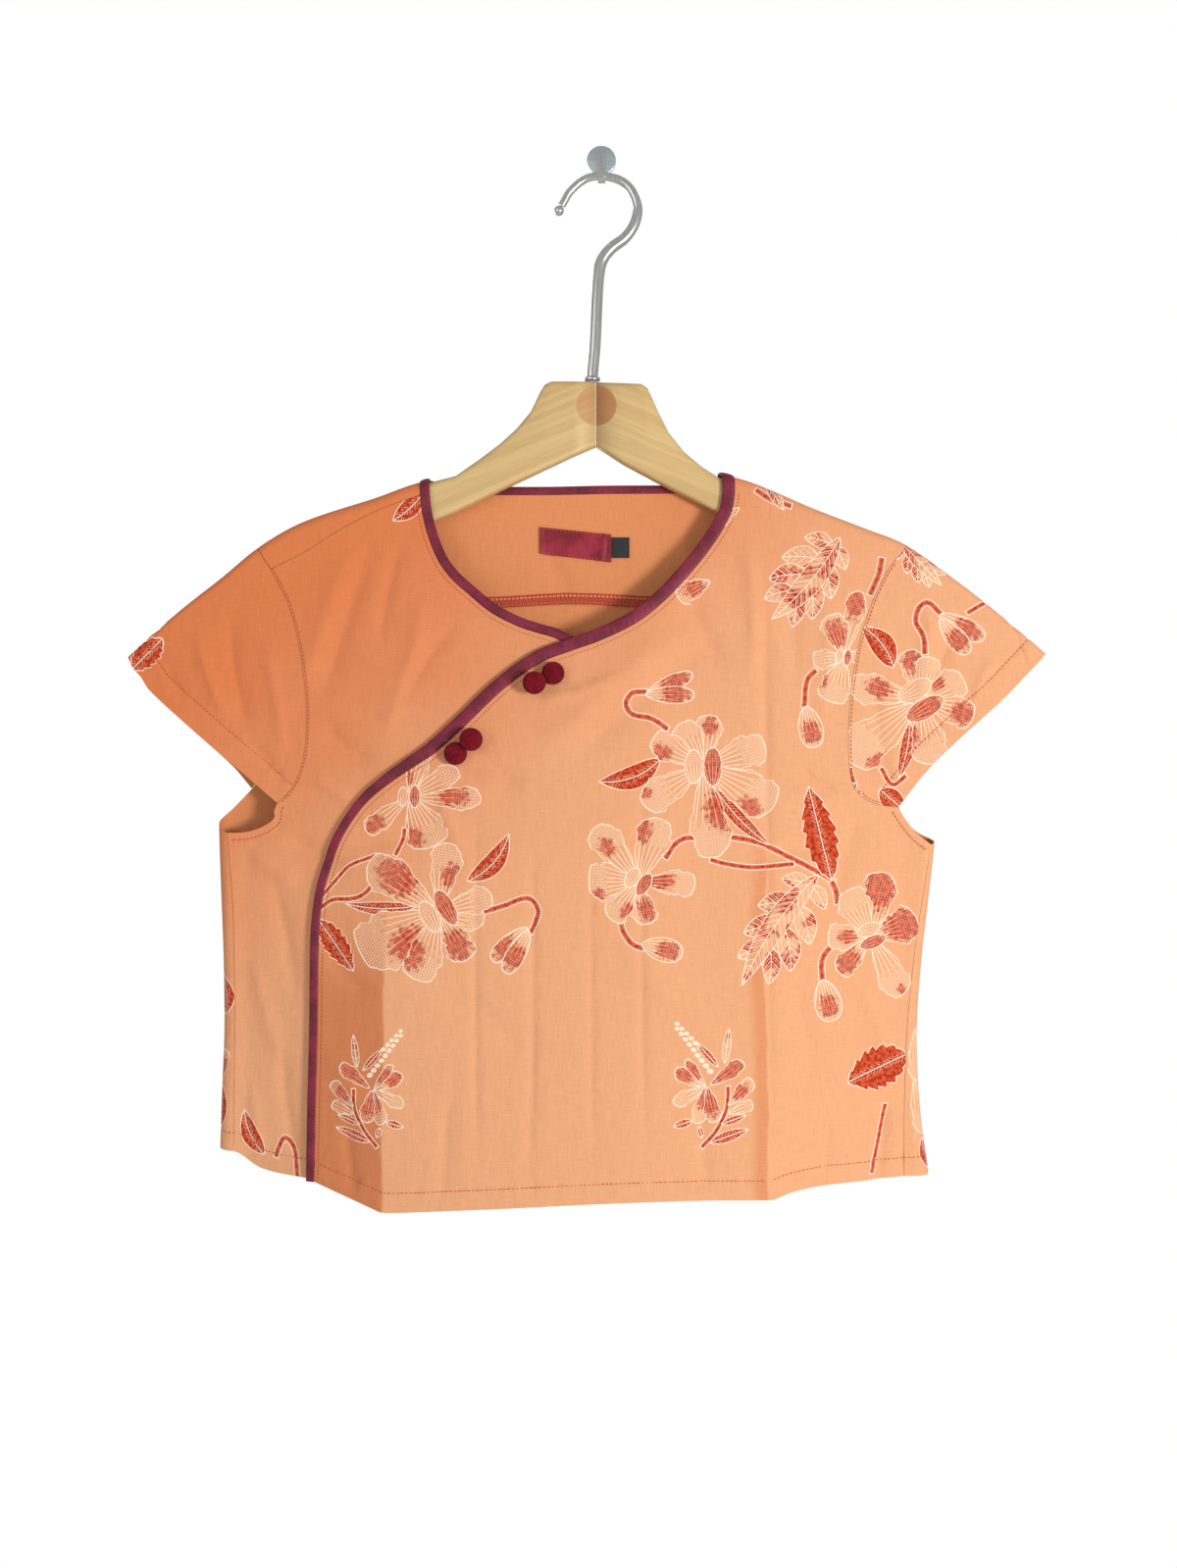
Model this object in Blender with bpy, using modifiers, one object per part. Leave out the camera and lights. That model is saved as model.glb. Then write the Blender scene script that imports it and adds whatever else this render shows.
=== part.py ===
"""A crop top with a wrapped front on a wooden hanger, hung from a small wall hook.

The thin cotton hangs flat over the two arms of the hanger. Seen from the front, the overlapping
front runs from the right shoulder across the chest to the left side, the under front shows at
the left, and a yoke and a lower back close the garment behind. Left and right are the viewer's.

Metres, +Z up, with the viewer on the -Y side. The origin is the centre of the hook's disc on
the wall, which is the plane y = 0.

Every piece of cloth is laid out flat as x across and v up. Below the hanger v is the height.
Above it the cloth bends over the ridge, and v runs on over the bend and down the other side.
"""

import math
from collections import namedtuple

import bmesh
import bpy
from mathutils import Vector
from mathutils.geometry import delaunay_2d_cdt

CLOTH = 0.0012
SEAM_GAP = 0.0003
BINDING_THICKNESS = 0.0024
BINDING_RISE = 0.0005
OVERLAP_LIFT = 0.0032
HANGER_PLANE = -0.025
HANGER_THICKNESS = 0.0116
HANGER_TOP_ROOM = 0.0014
# The hook's rod is thinner over the top than at its foot.
WIRE_RADIUS = 0.00265
WIRE_FOOT_RADIUS = 0.00405
WIRE_BALL_RADIUS = 0.0034
BUTTON_RADIUS = 0.0075
BUTTON_HALF_DEPTH = 0.0045
BUTTON_SHANK_RADIUS = 0.0022
DISC_RADIUS = 0.0101
DISC_THICKNESS = 0.0030
STRIP_THICKNESS = 0.0014
STRIP_WIDTH = 0.0050
LABEL_THICKNESS = 0.0010

# The cloth turns round the sides of the garment only below this height.
WRAP_TOP = -0.440
# Pressed creases run down the front at these places across.
LEFT_CREASE = -0.1445
RIGHT_CREASE = 0.1080
LEFT_SIDE = -0.240
RIGHT_SIDE = 0.205
# How sharply the cloth turns back from a crease towards the side.
TURN = 1.15
# The fullness grows in over this drop below the hanger.
SETTLE = 0.050

OUTLINE_STEP = 0.010
COLUMN_STEP = 0.0165
SIDE_STEP = 0.0060
ARC_PARTS = 6
# Inner points keep this far from an outline, and less where the cloth bends over the ridge.
OUTLINE_ROOM = 0.0045
RIDGE_ROOM = 0.0009
BEND_STRETCH = 4.0

# The middle of the cloth where it bends over the hanger and along the tops of the sleeves.
# Between the neck points, from -0.122 to 0.091, the line only carries the slope across.
Ridge = namedtuple("Ridge", "x top radius")
RIDGE = (
    Ridge(-0.330, -0.3545, 0.0030),
    Ridge(-0.3215, -0.3470, 0.0032),
    Ridge(-0.288, -0.3166, 0.0050),
    Ridge(-0.258, -0.2929, 0.0064),
    Ridge(-0.232, -0.2716, 0.0074),
    Ridge(-0.203, -0.2551, 0.0074),
    Ridge(-0.153, -0.2384, 0.0074),
    Ridge(-0.122, -0.2277, 0.0074),
    Ridge(-0.015, -0.2060, 0.0074),
    Ridge(0.091, -0.2248, 0.0074),
    Ridge(0.146, -0.2467, 0.0074),
    Ridge(0.178, -0.2590, 0.0074),
    Ridge(0.206, -0.2703, 0.0074),
    Ridge(0.235, -0.2905, 0.0066),
    Ridge(0.264, -0.3127, 0.0056),
    Ridge(0.290, -0.3349, 0.0042),
    Ridge(0.3015, -0.3450, 0.0034),
    Ridge(0.310, -0.3525, 0.0032),
)

# How far the front stands off the hanger's plane at each height: at the sides, at the two
# pressed creases and in the middle. The back moves towards the wall by the last column.
Section = namedtuple("Section", "height side crease middle back")
SECTIONS = (
    Section(-0.235, 0.000, 0.000, 0.0000, 0.0000),
    Section(-0.300, 0.000, 0.003, 0.0050, 0.0008),
    Section(-0.380, 0.000, 0.008, 0.0110, 0.0020),
    Section(-0.460, 0.000, 0.014, 0.0180, 0.0032),
    Section(-0.560, -0.001, 0.023, 0.0280, 0.0045),
    Section(-0.640, -0.001, 0.030, 0.0365, 0.0052),
    Section(-0.712, -0.001, 0.036, 0.0440, 0.0055),
)

# Where the sides turn, and where the side seams lie, measured along the front cloth.
Side = namedtuple("Side", "height left_turn left_seam right_turn right_seam")
SIDES = (
    Side(-0.440, -0.2517, -0.2545, 0.2185, 0.2260),
    Side(-0.465, -0.2515, -0.2530, 0.2180, 0.2240),
    Side(-0.510, -0.2500, -0.2495, 0.2132, 0.2168),
    Side(-0.550, -0.2485, -0.2485, 0.2085, 0.2110),
    Side(-0.600, -0.2478, -0.2480, 0.2050, 0.2062),
    Side(-0.650, -0.2496, -0.2487, 0.2068, 0.2044),
    Side(-0.698, -0.2507, -0.2487, 0.2127, 0.2040),
)

# The largest soft folds: each runs from one place to another and stands out by its depth,
# or sinks in where the depth is negative.
Fold = namedtuple("Fold", "x1 z1 x2 z2 width depth")
FRONT_FOLDS = (
    Fold(-0.152, -0.256, -0.192, -0.385, 0.0080, -0.0028),
    Fold(-0.166, -0.262, -0.204, -0.375, 0.0080, 0.0022),
    Fold(-0.050, -0.420, 0.062, -0.318, 0.0110, 0.0026),
    Fold(-0.030, -0.425, 0.080, -0.330, 0.0080, -0.0018),
    Fold(0.110, -0.250, 0.110, -0.715, 0.0035, -0.0022),
    Fold(-0.215, -0.468, -0.165, -0.492, 0.0070, -0.0025),
    Fold(0.192, -0.640, 0.184, -0.710, 0.0050, -0.0035),
    Fold(0.175, -0.450, 0.150, -0.520, 0.0080, -0.0022),
)
BACK_FOLDS = (
    Fold(-0.145, -0.260, -0.145, -0.705, 0.0060, 0.0020),
    Fold(0.108, -0.260, 0.108, -0.705, 0.0060, 0.0020),
    Fold(-0.170, -0.275, -0.120, -0.420, 0.0100, -0.0016),
    Fold(0.150, -0.275, 0.090, -0.430, 0.0100, -0.0016),
    Fold(-0.215, -0.470, -0.150, -0.520, 0.0090, 0.0018),
    Fold(0.020, -0.520, 0.000, -0.700, 0.0150, -0.0018),
)

Button = namedtuple("Button", "x z shank")
BUTTONS = (
    Button(-0.0325, -0.3590, 0.0006),
    Button(-0.0448, -0.3656, 0.0050),
    Button(-0.0864, -0.4032, 0.0050),
    Button(-0.0970, -0.4124, 0.0006),
)

# The top and bottom edge of each wooden arm, from the joint in the middle outwards.
Station = namedtuple("Station", "x top bottom")
ARM_LEFT = (
    Station(-0.00415, -0.1595, -0.2035),
    Station(-0.0200, -0.1590, -0.2103),
    Station(-0.0340, -0.1591, -0.2170),
    Station(-0.0385, -0.1612, -0.2190),
    Station(-0.0415, -0.1660, -0.2205),
    Station(-0.0480, -0.1795, -0.2236),
    Station(-0.0575, -0.1910, -0.2280),
    Station(-0.0690, -0.2015, -0.2335),
    Station(-0.0830, -0.2120, -0.2405),
    Station(-0.0990, -0.2215, -0.2482),
    Station(-0.1140, -0.2275, -0.2545),
    Station(-0.2060, -0.2590, -0.2830),
)
ARM_RIGHT = (
    Station(-0.00385, -0.1597, -0.2035),
    Station(0.0150, -0.1602, -0.2155),
    Station(0.0270, -0.1608, -0.2220),
    Station(0.0310, -0.1635, -0.2240),
    Station(0.0345, -0.1710, -0.2260),
    Station(0.0385, -0.1800, -0.2280),
    Station(0.0455, -0.1938, -0.2317),
    Station(0.0565, -0.2075, -0.2372),
    Station(0.0680, -0.2170, -0.2430),
    Station(0.0790, -0.2240, -0.2490),
    Station(0.0920, -0.2270, -0.2540),
    Station(0.1900, -0.2655, -0.2870),
)

WIRE_ROUTE = (
    (-0.0272, -0.0397), (-0.0250, -0.0358), (-0.0220, -0.0307), (-0.0156, -0.0244),
    (-0.0089, -0.0205), (-0.0010, -0.0194), (0.0060, -0.0201), (0.0135, -0.0228),
    (0.0200, -0.0288), (0.0244, -0.0407), (0.0225, -0.0515), (0.0160, -0.0613),
    (0.0066, -0.0685), (0.0005, -0.0763), (-0.0017, -0.0840), (-0.0031, -0.0996),
    (-0.0046, -0.1329), (-0.0063, -0.1529), (-0.0064, -0.1560),
)


def clear_scene():
    for item in list(bpy.data.objects):
        bpy.data.objects.remove(item, do_unlink=True)


def paint(name, colour, roughness, metallic=0.0):
    material = bpy.data.materials.new(name)
    material.use_nodes = True
    shader = material.node_tree.nodes["Principled BSDF"]
    shader.inputs["Base Color"].default_value = (*colour, 1.0)
    shader.inputs["Roughness"].default_value = roughness
    shader.inputs["Metallic"].default_value = metallic
    return material


def smooth_step(share):
    share = min(1.0, max(0.0, share))
    return share * share * (3 - 2 * share)


def track(rows, key, value):
    """A smooth line through one named column of a table, held level beyond its ends."""
    knots = sorted((getattr(row, key), getattr(row, value)) for row in rows)
    last = len(knots) - 1
    slopes = []
    for i in range(last + 1):
        (before_x, before_y), (after_x, after_y) = knots[max(i - 1, 0)], knots[min(i + 1, last)]
        slopes.append((after_y - before_y) / (after_x - before_x))

    def read(at):
        if at <= knots[0][0]:
            return knots[0][1]
        if at >= knots[last][0]:
            return knots[last][1]
        i = next(i for i in range(last) if at <= knots[i + 1][0])
        (x0, y0), (x1, y1) = knots[i], knots[i + 1]
        width = x1 - x0
        t = (at - x0) / width
        start = (1 + 2 * t) * (1 - t) ** 2 * y0 + t * (1 - t) ** 2 * width * slopes[i]
        end = t * t * (3 - 2 * t) * y1 + t * t * (t - 1) * width * slopes[i + 1]
        return start + end

    return read


ridge_top = track(RIDGE, "x", "top")
ridge_radius = track(RIDGE, "x", "radius")
side_full = track(SECTIONS, "height", "side")
crease_full = track(SECTIONS, "height", "crease")
middle_full = track(SECTIONS, "height", "middle")
back_full = track(SECTIONS, "height", "back")
left_turn = track(SIDES, "height", "left_turn")
left_seam = track(SIDES, "height", "left_seam")
right_turn = track(SIDES, "height", "right_turn")
right_seam = track(SIDES, "height", "right_seam")


def tangent(x):
    """The height at which the cloth starts to bend over the ridge."""
    return ridge_top(x) - ridge_radius(x)


def over(x, share):
    """The flat height v at a share of the way over the ridge, from this side to the other."""
    return tangent(x) + share * math.pi * ridge_radius(x)


def other_side(points):
    """Flat points of one side of the garment, as the other side counts them."""
    return [Vector((x, 2 * tangent(x) + math.pi * ridge_radius(x) - v)) for x, v in points]


def relief(folds, x, z):
    """How far the soft folds move the cloth out at x and z."""
    total = 0.0
    for fold in folds:
        run = Vector((fold.x2 - fold.x1, fold.z2 - fold.z1))
        place = Vector((x - fold.x1, z - fold.z1))
        share = place.dot(run) / run.length_squared
        if 0 < share < 1:
            away = abs(place.cross(run)) / run.length
            fade = smooth_step(share / 0.3) * smooth_step((1 - share) / 0.3)
            total += fold.depth * fade * math.exp(-((away / fold.width) ** 2))
    return total


def fullness(x, z):
    """How far the front stands out at x and z, apart from its soft folds."""
    side, crease, middle = side_full(z), crease_full(z), middle_full(z)
    if LEFT_CREASE <= x <= RIGHT_CREASE:
        half = (RIGHT_CREASE - LEFT_CREASE) / 2
        across = (x - LEFT_CREASE - half) / half
        return crease + (middle - crease) * (1 - across * across)
    if x < LEFT_CREASE:
        share = (x - LEFT_SIDE) / (LEFT_CREASE - LEFT_SIDE)
    else:
        share = (RIGHT_SIDE - x) / (RIGHT_SIDE - RIGHT_CREASE)
    return side + (crease - side) * max(0.0, share) ** TURN


def depth(x, z, facing):
    """The y of the cloth's middle at x and z, on the front (facing -1) or the back (facing 1)."""
    settled = smooth_step((tangent(x) - z) / SETTLE)
    if facing < 0:
        out = fullness(x, z) + relief(FRONT_FOLDS, x, z)
    else:
        out = back_full(z) + relief(BACK_FOLDS, x, z)
    return HANGER_PLANE + facing * (ridge_radius(x) + out * settled)


def hang(x, v, facing):
    """The place in space of a flat point x, v of the front (facing -1) or the back (facing 1)."""
    radius = ridge_radius(x)
    above = v - tangent(x)
    if above > math.pi * radius:
        z = tangent(x) - (above - math.pi * radius)
        return Vector((x, depth(x, z, -facing), z))
    if above > 0:
        turn = above / radius
        y = HANGER_PLANE + facing * radius * math.cos(turn)
        return Vector((x, y, tangent(x) + radius * math.sin(turn)))
    if v < WRAP_TOP:
        for fold, side in ((left_turn(v), -1), (right_turn(v), 1)):
            beyond = side * (x - fold)
            if beyond <= 0:
                continue
            near, far = depth(fold, v, facing), depth(fold, v, -facing)
            bend = abs(far - near) / 2
            turn = beyond / bend
            if turn < math.pi:
                y = near + (far - near) * (1 - math.cos(turn)) / 2
                return Vector((fold + side * bend * math.sin(turn), y, v))
            inner = fold - side * (beyond - math.pi * bend)
            return Vector((inner, depth(inner, v, -facing), v))
    return Vector((x, depth(x, v, facing), v))


def hang_overlap(x, v, facing=-1):
    """As hang, for the overlapping front, which lies over the under front at the left."""
    place = hang(x, v, facing)
    place.y -= OVERLAP_LIFT * smooth_step((0.075 - x) / 0.060)
    return place


def hang_front(x, v):
    return hang(x, v, -1)


def hang_back(x, v):
    return hang(x, v, 1)


def outward(place, x, v):
    """The unit normal of the cloth at a flat point, away from the inside of the garment."""
    step = 0.0005
    across = place(x + step, v) - place(x - step, v)
    up = place(x, v + step) - place(x, v - step)
    normal = across.cross(up).normalized()
    return -normal if place is hang_back else normal


Knot = namedtuple("Knot", "t x v")


def curve(points, step=OUTLINE_STEP):
    """A smooth line through a few flat points, as points about a step apart."""
    lengths = [0.0]
    for start, end in zip(points, points[1:]):
        lengths.append(lengths[-1] + math.dist(start, end))
    knots = [Knot(length, *point) for length, point in zip(lengths, points)]
    read_x, read_v = track(knots, "t", "x"), track(knots, "t", "v")
    parts = max(1, round(lengths[-1] / step))
    spots = [lengths[-1] * i / parts for i in range(parts + 1)]
    return [Vector((read_x(t), read_v(t))) for t in spots]


def beside(line, shift):
    """The line moved to the right of its own direction by a shift for each point."""
    moved = []
    for i, here in enumerate(line):
        ahead = line[min(i + 1, len(line) - 1)] - line[max(i - 1, 0)]
        moved.append(here + Vector((ahead.y, -ahead.x)).normalized() * shift[i])
    return moved


def ring_of(*lines):
    """Lines joined end to end into one closed outline that runs anticlockwise."""
    outline = []
    for line in lines:
        for point in line:
            point = Vector(point)
            if not outline or (point - outline[-1]).length > 0.0004:
                outline.append(point)
    if (outline[0] - outline[-1]).length < 0.0004:
        outline.pop()
    area = sum(a.cross(b) for a, b in zip(outline, outline[1:] + outline[:1]))
    return outline if area > 0 else outline[::-1]


def inset(outline, by):
    """The anticlockwise outline moved inwards all round."""
    moved = []
    for i, here in enumerate(outline):
        before = (here - outline[i - 1]).normalized()
        after = (outline[(i + 1) % len(outline)] - here).normalized()
        inward = Vector((-before.y - after.y, before.x + after.x)).normalized()
        lean = max(0.4, inward.dot(Vector((-before.y, before.x))))
        moved.append(here + inward * by / lean)
    return moved


def seam_x(z, side, facing):
    """The flat x of a side seam at a height, as the front or the back counts it."""
    turn, seam = (left_turn(z), left_seam(z)) if side < 0 else (right_turn(z), right_seam(z))
    if facing < 0:
        return seam
    bend = abs(depth(turn, z, 1) - depth(turn, z, -1)) / 2
    return turn + side * (math.pi * bend - side * (seam - turn))


def side_line(side, facing, top, bottom):
    parts = round(abs(top - bottom) / 0.016)
    heights = [top + (bottom - top) * i / parts for i in range(parts + 1)]
    return [Vector((seam_x(z, side, facing), z)) for z in heights]


def distance_to(outline, point):
    """The distance from a point to an outline, negative outside it."""
    nearest = math.inf
    inside = False
    for start, end in zip(outline, outline[1:] + outline[:1]):
        run = end - start
        share = min(1.0, max(0.0, (point - start).dot(run) / run.length_squared))
        nearest = min(nearest, (point - start - run * share).length)
        if (start.y > point.y) != (end.y > point.y):
            crossing = start.x + (point.y - start.y) * run.x / run.y
            inside ^= crossing > point.x
    return nearest if inside else -nearest


def lattice_rows(x):
    """How far above the tangent line the inner rows of points lie, at a place across."""
    bend = math.pi * ridge_radius(x)
    below, drop, step = [], 0.0, 0.006
    while drop < 0.50:
        below.append(drop)
        drop += step
        step = min(0.029, step * 1.5)
    arc = [bend * i / ARC_PARTS for i in range(1, ARC_PARTS)]
    return [-drop for drop in below] + arc + [bend + drop for drop in below]


def stretched(x, above):
    """A flat point with the bends drawn out, so that the triangles follow them."""
    bend = math.pi * ridge_radius(x)
    aside = min(x - LEFT_SIDE, 0.0) + max(x - RIGHT_SIDE, 0.0)
    return Vector((x + (BEND_STRETCH - 1) * aside,
                   above + (BEND_STRETCH - 1) * min(max(above, 0.0), bend)))


def lattice_columns(low, high):
    """Where the inner columns of points lie across: closer at the creases and round the sides."""
    columns = [LEFT_CREASE + away for away in (-0.005, 0.0, 0.005)]
    columns += [RIGHT_CREASE + away for away in (-0.005, 0.0, 0.004, 0.010)]
    x = LEFT_SIDE
    while x < RIGHT_SIDE:
        if min(abs(x - c) for c in columns) > 0.007:
            columns.append(x)
        x += COLUMN_STEP
    columns += [LEFT_SIDE - SIDE_STEP * i for i in range(1, 16)]
    columns += [RIGHT_SIDE + SIDE_STEP * i for i in range(18)]
    return [x for x in columns if low < x < high]


def new_object(name, mesh, material, collection):
    mesh.materials.append(material)
    item = bpy.data.objects.new(name, mesh)
    collection.objects.link(item)
    return item


def closed_body(name, points, faces, material, collection):
    """An object from points and faces, with every face turned outwards and its edges crisp."""
    mesh = bpy.data.meshes.new(name)
    mesh.from_pydata(points, [], faces)
    work = bmesh.new()
    work.from_mesh(mesh)
    bmesh.ops.recalc_face_normals(work, faces=work.faces)
    work.to_mesh(mesh)
    work.free()
    mesh.shade_smooth()
    mesh.set_sharp_from_angle(angle=math.radians(50))
    return new_object(name, mesh, material, collection)


def cut_cloth(name, outline, place, material, collection):
    """Cuts a piece along its outline, less half the seam gap, hangs it and gives it its wall."""
    edge = inset(outline, SEAM_GAP / 2)
    flat = [Vector((x, v - tangent(x))) for x, v in edge]
    low, high = min(p.x for p in flat), max(p.x for p in flat)
    points = list(flat)
    for x in lattice_columns(low, high):
        bend = math.pi * ridge_radius(x)
        for above in lattice_rows(x):
            spot = Vector((x, above))
            room = RIDGE_ROOM if 0 < above < bend else OUTLINE_ROOM
            if distance_to(flat, spot) > room:
                points.append(spot)
    ring = [(i, (i + 1) % len(flat)) for i in range(len(flat))]
    drawn = [stretched(x, above) for x, above in points]
    _, _, faces, sources, _, _ = delaunay_2d_cdt(drawn, ring, [], 1, 1e-7)
    outer, inner = [], []
    for x, above in (points[source[0]] for source in sources):
        v = above + tangent(x)
        middle, normal = place(x, v), outward(place, x, v)
        outer.append(middle + normal * CLOTH / 2)
        inner.append(middle - normal * CLOTH / 2)
    count = len(outer)
    sides = {(face[i - 1], face[i]) for face in faces for i in range(3)}
    walls = [(a, b, b + count, a + count) for a, b in sides if (b, a) not in sides]
    lining = [[i + count for i in face] for face in faces]
    return closed_body(name, outer + inner, faces + lining + walls, material, collection)


def skin(name, rings, material, collection):
    """A closed loft through rings of points, each with as many points, capped at both ends."""
    sides = len(rings[0])
    points = [point for ring in rings for point in ring]
    faces = [list(range(sides)), [len(points) - sides + i for i in range(sides)]]
    for row in range(len(rings) - 1):
        for i in range(sides):
            a, b = row * sides + i, row * sides + (i + 1) % sides
            faces.append((a, b, b + sides, a + sides))
    return closed_body(name, points, faces, material, collection)


def bind_edge(name, line, widths, place, level_end, material, collection):
    """A folded bias strip along a flat line: oval sections, cut level where strips meet."""
    sides, last = 8, len(line) - 1
    level = (0, last) if level_end else (0,)
    rings = []
    for i, (x, v) in enumerate(line):
        ahead = line[min(i + 1, last)] - line[max(i - 1, 0)]
        if i in level:
            ahead.x = 0.0
        centre = place(x, v)
        run = (place(x + ahead.x / 4, v + ahead.y / 4) - place(x - ahead.x / 4, v - ahead.y / 4))
        normal = outward(place, x, v)
        across = normal.cross(run.normalized()).normalized()
        centre += normal * BINDING_RISE
        if i in (0, last):
            centre += run.normalized() * (SEAM_GAP / 2 if i == 0 else -SEAM_GAP / 2)
        ring = []
        for k in range(sides):
            angle = math.tau * (k + 0.5) / sides
            ring.append(centre + across * (widths[i] / 2 * math.cos(angle) / math.cos(math.pi / sides))
                        + normal * (BINDING_THICKNESS / 2 * math.sin(angle)))
        rings.append(ring)
    return skin(name, rings, material, collection)


def wooden_arm(name, stations, material, collection):
    """An arm of the hanger: flat-faced sections with a round top, down to a rounded end."""
    sign = 1 if stations[-1].x > stations[0].x else -1
    top, bottom = track(stations, "x", "top"), track(stations, "x", "bottom")
    places = [(s.x, 1.0) for s in stations[:-1]]
    start, end = stations[-2].x, stations[-1].x
    places += [(start + (end - start) * i / 6, 1.0) for i in range(1, 7)]
    tip = 0.008
    places += [(end + sign * tip * math.sin(a), math.cos(a)) for a in (0.55, 1.0, 1.35)]
    rings = []
    for x, share in places:
        high, low = top(x), bottom(x)
        if abs(x) > 0.095:
            high = ridge_top(x) - HANGER_TOP_ROOM
        slope = (bottom(end) - bottom(start)) / (end - start)
        if share < 1:
            low = bottom(end) + slope * (x - end)
        middle, half = (high + low) / 2, (high - low) / 2 * share
        thick = HANGER_THICKNESS / 2 * (0.35 + 0.65 * share)
        round_top, round_low = min(0.0052, half), min(0.0028, half)
        ring = []
        for centre_y, centre_z, size, first in (
            (thick, half, round_top, 0.0), (-thick, half, round_top, 90.0),
            (-thick, -half, round_low, 180.0), (thick, -half, round_low, 270.0),
        ):
            size = min(size, thick)
            inner_y = math.copysign(abs(centre_y) - size, centre_y)
            inner_z = math.copysign(abs(centre_z) - size, centre_z)
            for step in range(4):
                angle = math.radians(first + 30 * step)
                ring.append(Vector((x, HANGER_PLANE + inner_y + size * math.cos(angle),
                                    middle + inner_z + size * math.sin(angle))))
        rings.append(ring)
    return skin(name, rings, material, collection)


def hook_wire(material, collection):
    route = curve([Vector(point) for point in WIRE_ROUTE], 0.0055)
    data = bpy.data.curves.new("hanger_hook", "CURVE")
    data.dimensions = "3D"
    data.bevel_depth = WIRE_RADIUS
    data.bevel_resolution = 3
    data.use_fill_caps = True
    spline = data.splines.new("POLY")
    spline.points.add(len(route) - 1)
    for number, (point, (x, z)) in enumerate(zip(spline.points, route)):
        point.co = (x, HANGER_PLANE, z, 1.0)
        swell = smooth_step((number / (len(route) - 1) - 0.12) / 0.50)
        point.radius = 1 + (WIRE_FOOT_RADIUS / WIRE_RADIUS - 1) * swell
    data.materials.append(material)
    item = bpy.data.objects.new("hanger_hook", data)
    collection.objects.link(item)
    x, z = WIRE_ROUTE[0]
    before = Vector(WIRE_ROUTE[0]) - Vector(WIRE_ROUTE[1])
    tip = Vector((x, z)) + before.normalized() * (WIRE_BALL_RADIUS + SEAM_GAP)
    work = bmesh.new()
    bmesh.ops.create_uvsphere(work, u_segments=16, v_segments=10, radius=WIRE_BALL_RADIUS)
    ball = bpy.data.meshes.new("hook_ball")
    work.to_mesh(ball)
    work.free()
    ball.shade_smooth()
    new_object("hook_ball", ball, material, collection).location = (tip.x, HANGER_PLANE, tip.y)


def drum(name, radius, length, centre, axis, material, collection):
    """A short cylinder with a softened edge, along Y or Z."""
    work = bmesh.new()
    bmesh.ops.create_cone(work, cap_ends=True, segments=40, radius1=radius, radius2=radius, depth=length)
    mesh = bpy.data.meshes.new(name)
    work.to_mesh(mesh)
    work.free()
    mesh.shade_smooth()
    mesh.set_sharp_from_angle(angle=math.radians(40))
    item = new_object(name, mesh, material, collection)
    item.location = centre
    if axis == "Y":
        item.rotation_euler.x = math.radians(90)
    return item


def wall_hook(material, collection):
    """The disc on the wall and the bent strip that carries the hanger's wire in front of it."""
    disc = drum("wall_disc", DISC_RADIUS, DISC_THICKNESS, (0, -DISC_THICKNESS / 2, 0), "Y",
                material, collection)
    soft = disc.modifiers.new("Edge", "BEVEL")
    soft.width = 0.0006
    soft.segments = 2
    soft.limit_method = "ANGLE"
    back = -DISC_THICKNESS - SEAM_GAP - STRIP_THICKNESS / 2
    front = HANGER_PLANE - WIRE_RADIUS - SEAM_GAP - STRIP_THICKNESS / 2
    rest = WIRE_RADIUS + SEAM_GAP + STRIP_THICKNESS / 2
    top = max(z for _, z in WIRE_ROUTE) - SEAM_GAP
    # Down the wall, forwards and down to the wire, then round under it to the front.
    path = [(back, 0.0060), (back, -0.0070), (back - 0.0006, -0.0086), (back - 0.0018, -0.0100)]
    for step in range(9):
        angle = math.radians(-40 - 17.5 * step)
        path.append((HANGER_PLANE + rest * math.cos(angle), top + rest * math.sin(angle)))
    straight = len(path)
    tip, half = -0.0052, STRIP_WIDTH / 2
    widths = [half] * straight
    for step in range(5):
        angle = math.radians(20 * step)
        path.append((front, tip - half + half * math.sin(angle)))
        widths.append(half * math.cos(angle))
    points, faces = [], []
    for (y, z), wide in zip(path, widths):
        points += [Vector((-wide, y, z)), Vector((wide, y, z))]
    for row in range(len(path) - 1):
        faces.append((2 * row, 2 * row + 1, 2 * row + 3, 2 * row + 2))
    mesh = bpy.data.meshes.new("wall_finger")
    mesh.from_pydata(points, [], faces)
    item = new_object("wall_finger", mesh, material, collection)
    wall = item.modifiers.new("Wall", "SOLIDIFY")
    wall.thickness = STRIP_THICKNESS
    wall.offset = 0.0
    wall.use_even_offset = True


def sew_button(name, button, material, collection):
    """A covered button: a turned dome on a short shank that stands off the cloth."""
    profile = [(BUTTON_SHANK_RADIUS, 0.0), (BUTTON_SHANK_RADIUS, button.shank)]
    low = math.asin(BUTTON_SHANK_RADIUS / BUTTON_RADIUS)
    height = button.shank + BUTTON_HALF_DEPTH * math.cos(low)
    for step in range(1, 10):
        angle = low + (math.pi - low) * step / 10
        profile.append((BUTTON_RADIUS * math.sin(angle), height - BUTTON_HALF_DEPTH * math.cos(angle)))
    foot = hang_overlap(button.x, button.z)
    foot.y -= CLOTH / 2 + SEAM_GAP * 2
    points = [(0, 0, 0)] + [(radius, 0, level) for radius, level in profile]
    points.append((0, 0, height + BUTTON_HALF_DEPTH))
    mesh = bpy.data.meshes.new(name)
    mesh.from_pydata(points, [(i, i + 1) for i in range(len(points) - 1)], [])
    item = new_object(name, mesh, material, collection)
    item.location = foot
    item.rotation_euler.x = math.radians(90)
    turn = item.modifiers.new("Turn", "SCREW")
    turn.steps = turn.render_steps = 18
    turn.use_merge_vertices = True
    turn.merge_threshold = 0.00001
    turn.use_normal_flip = True


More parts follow.
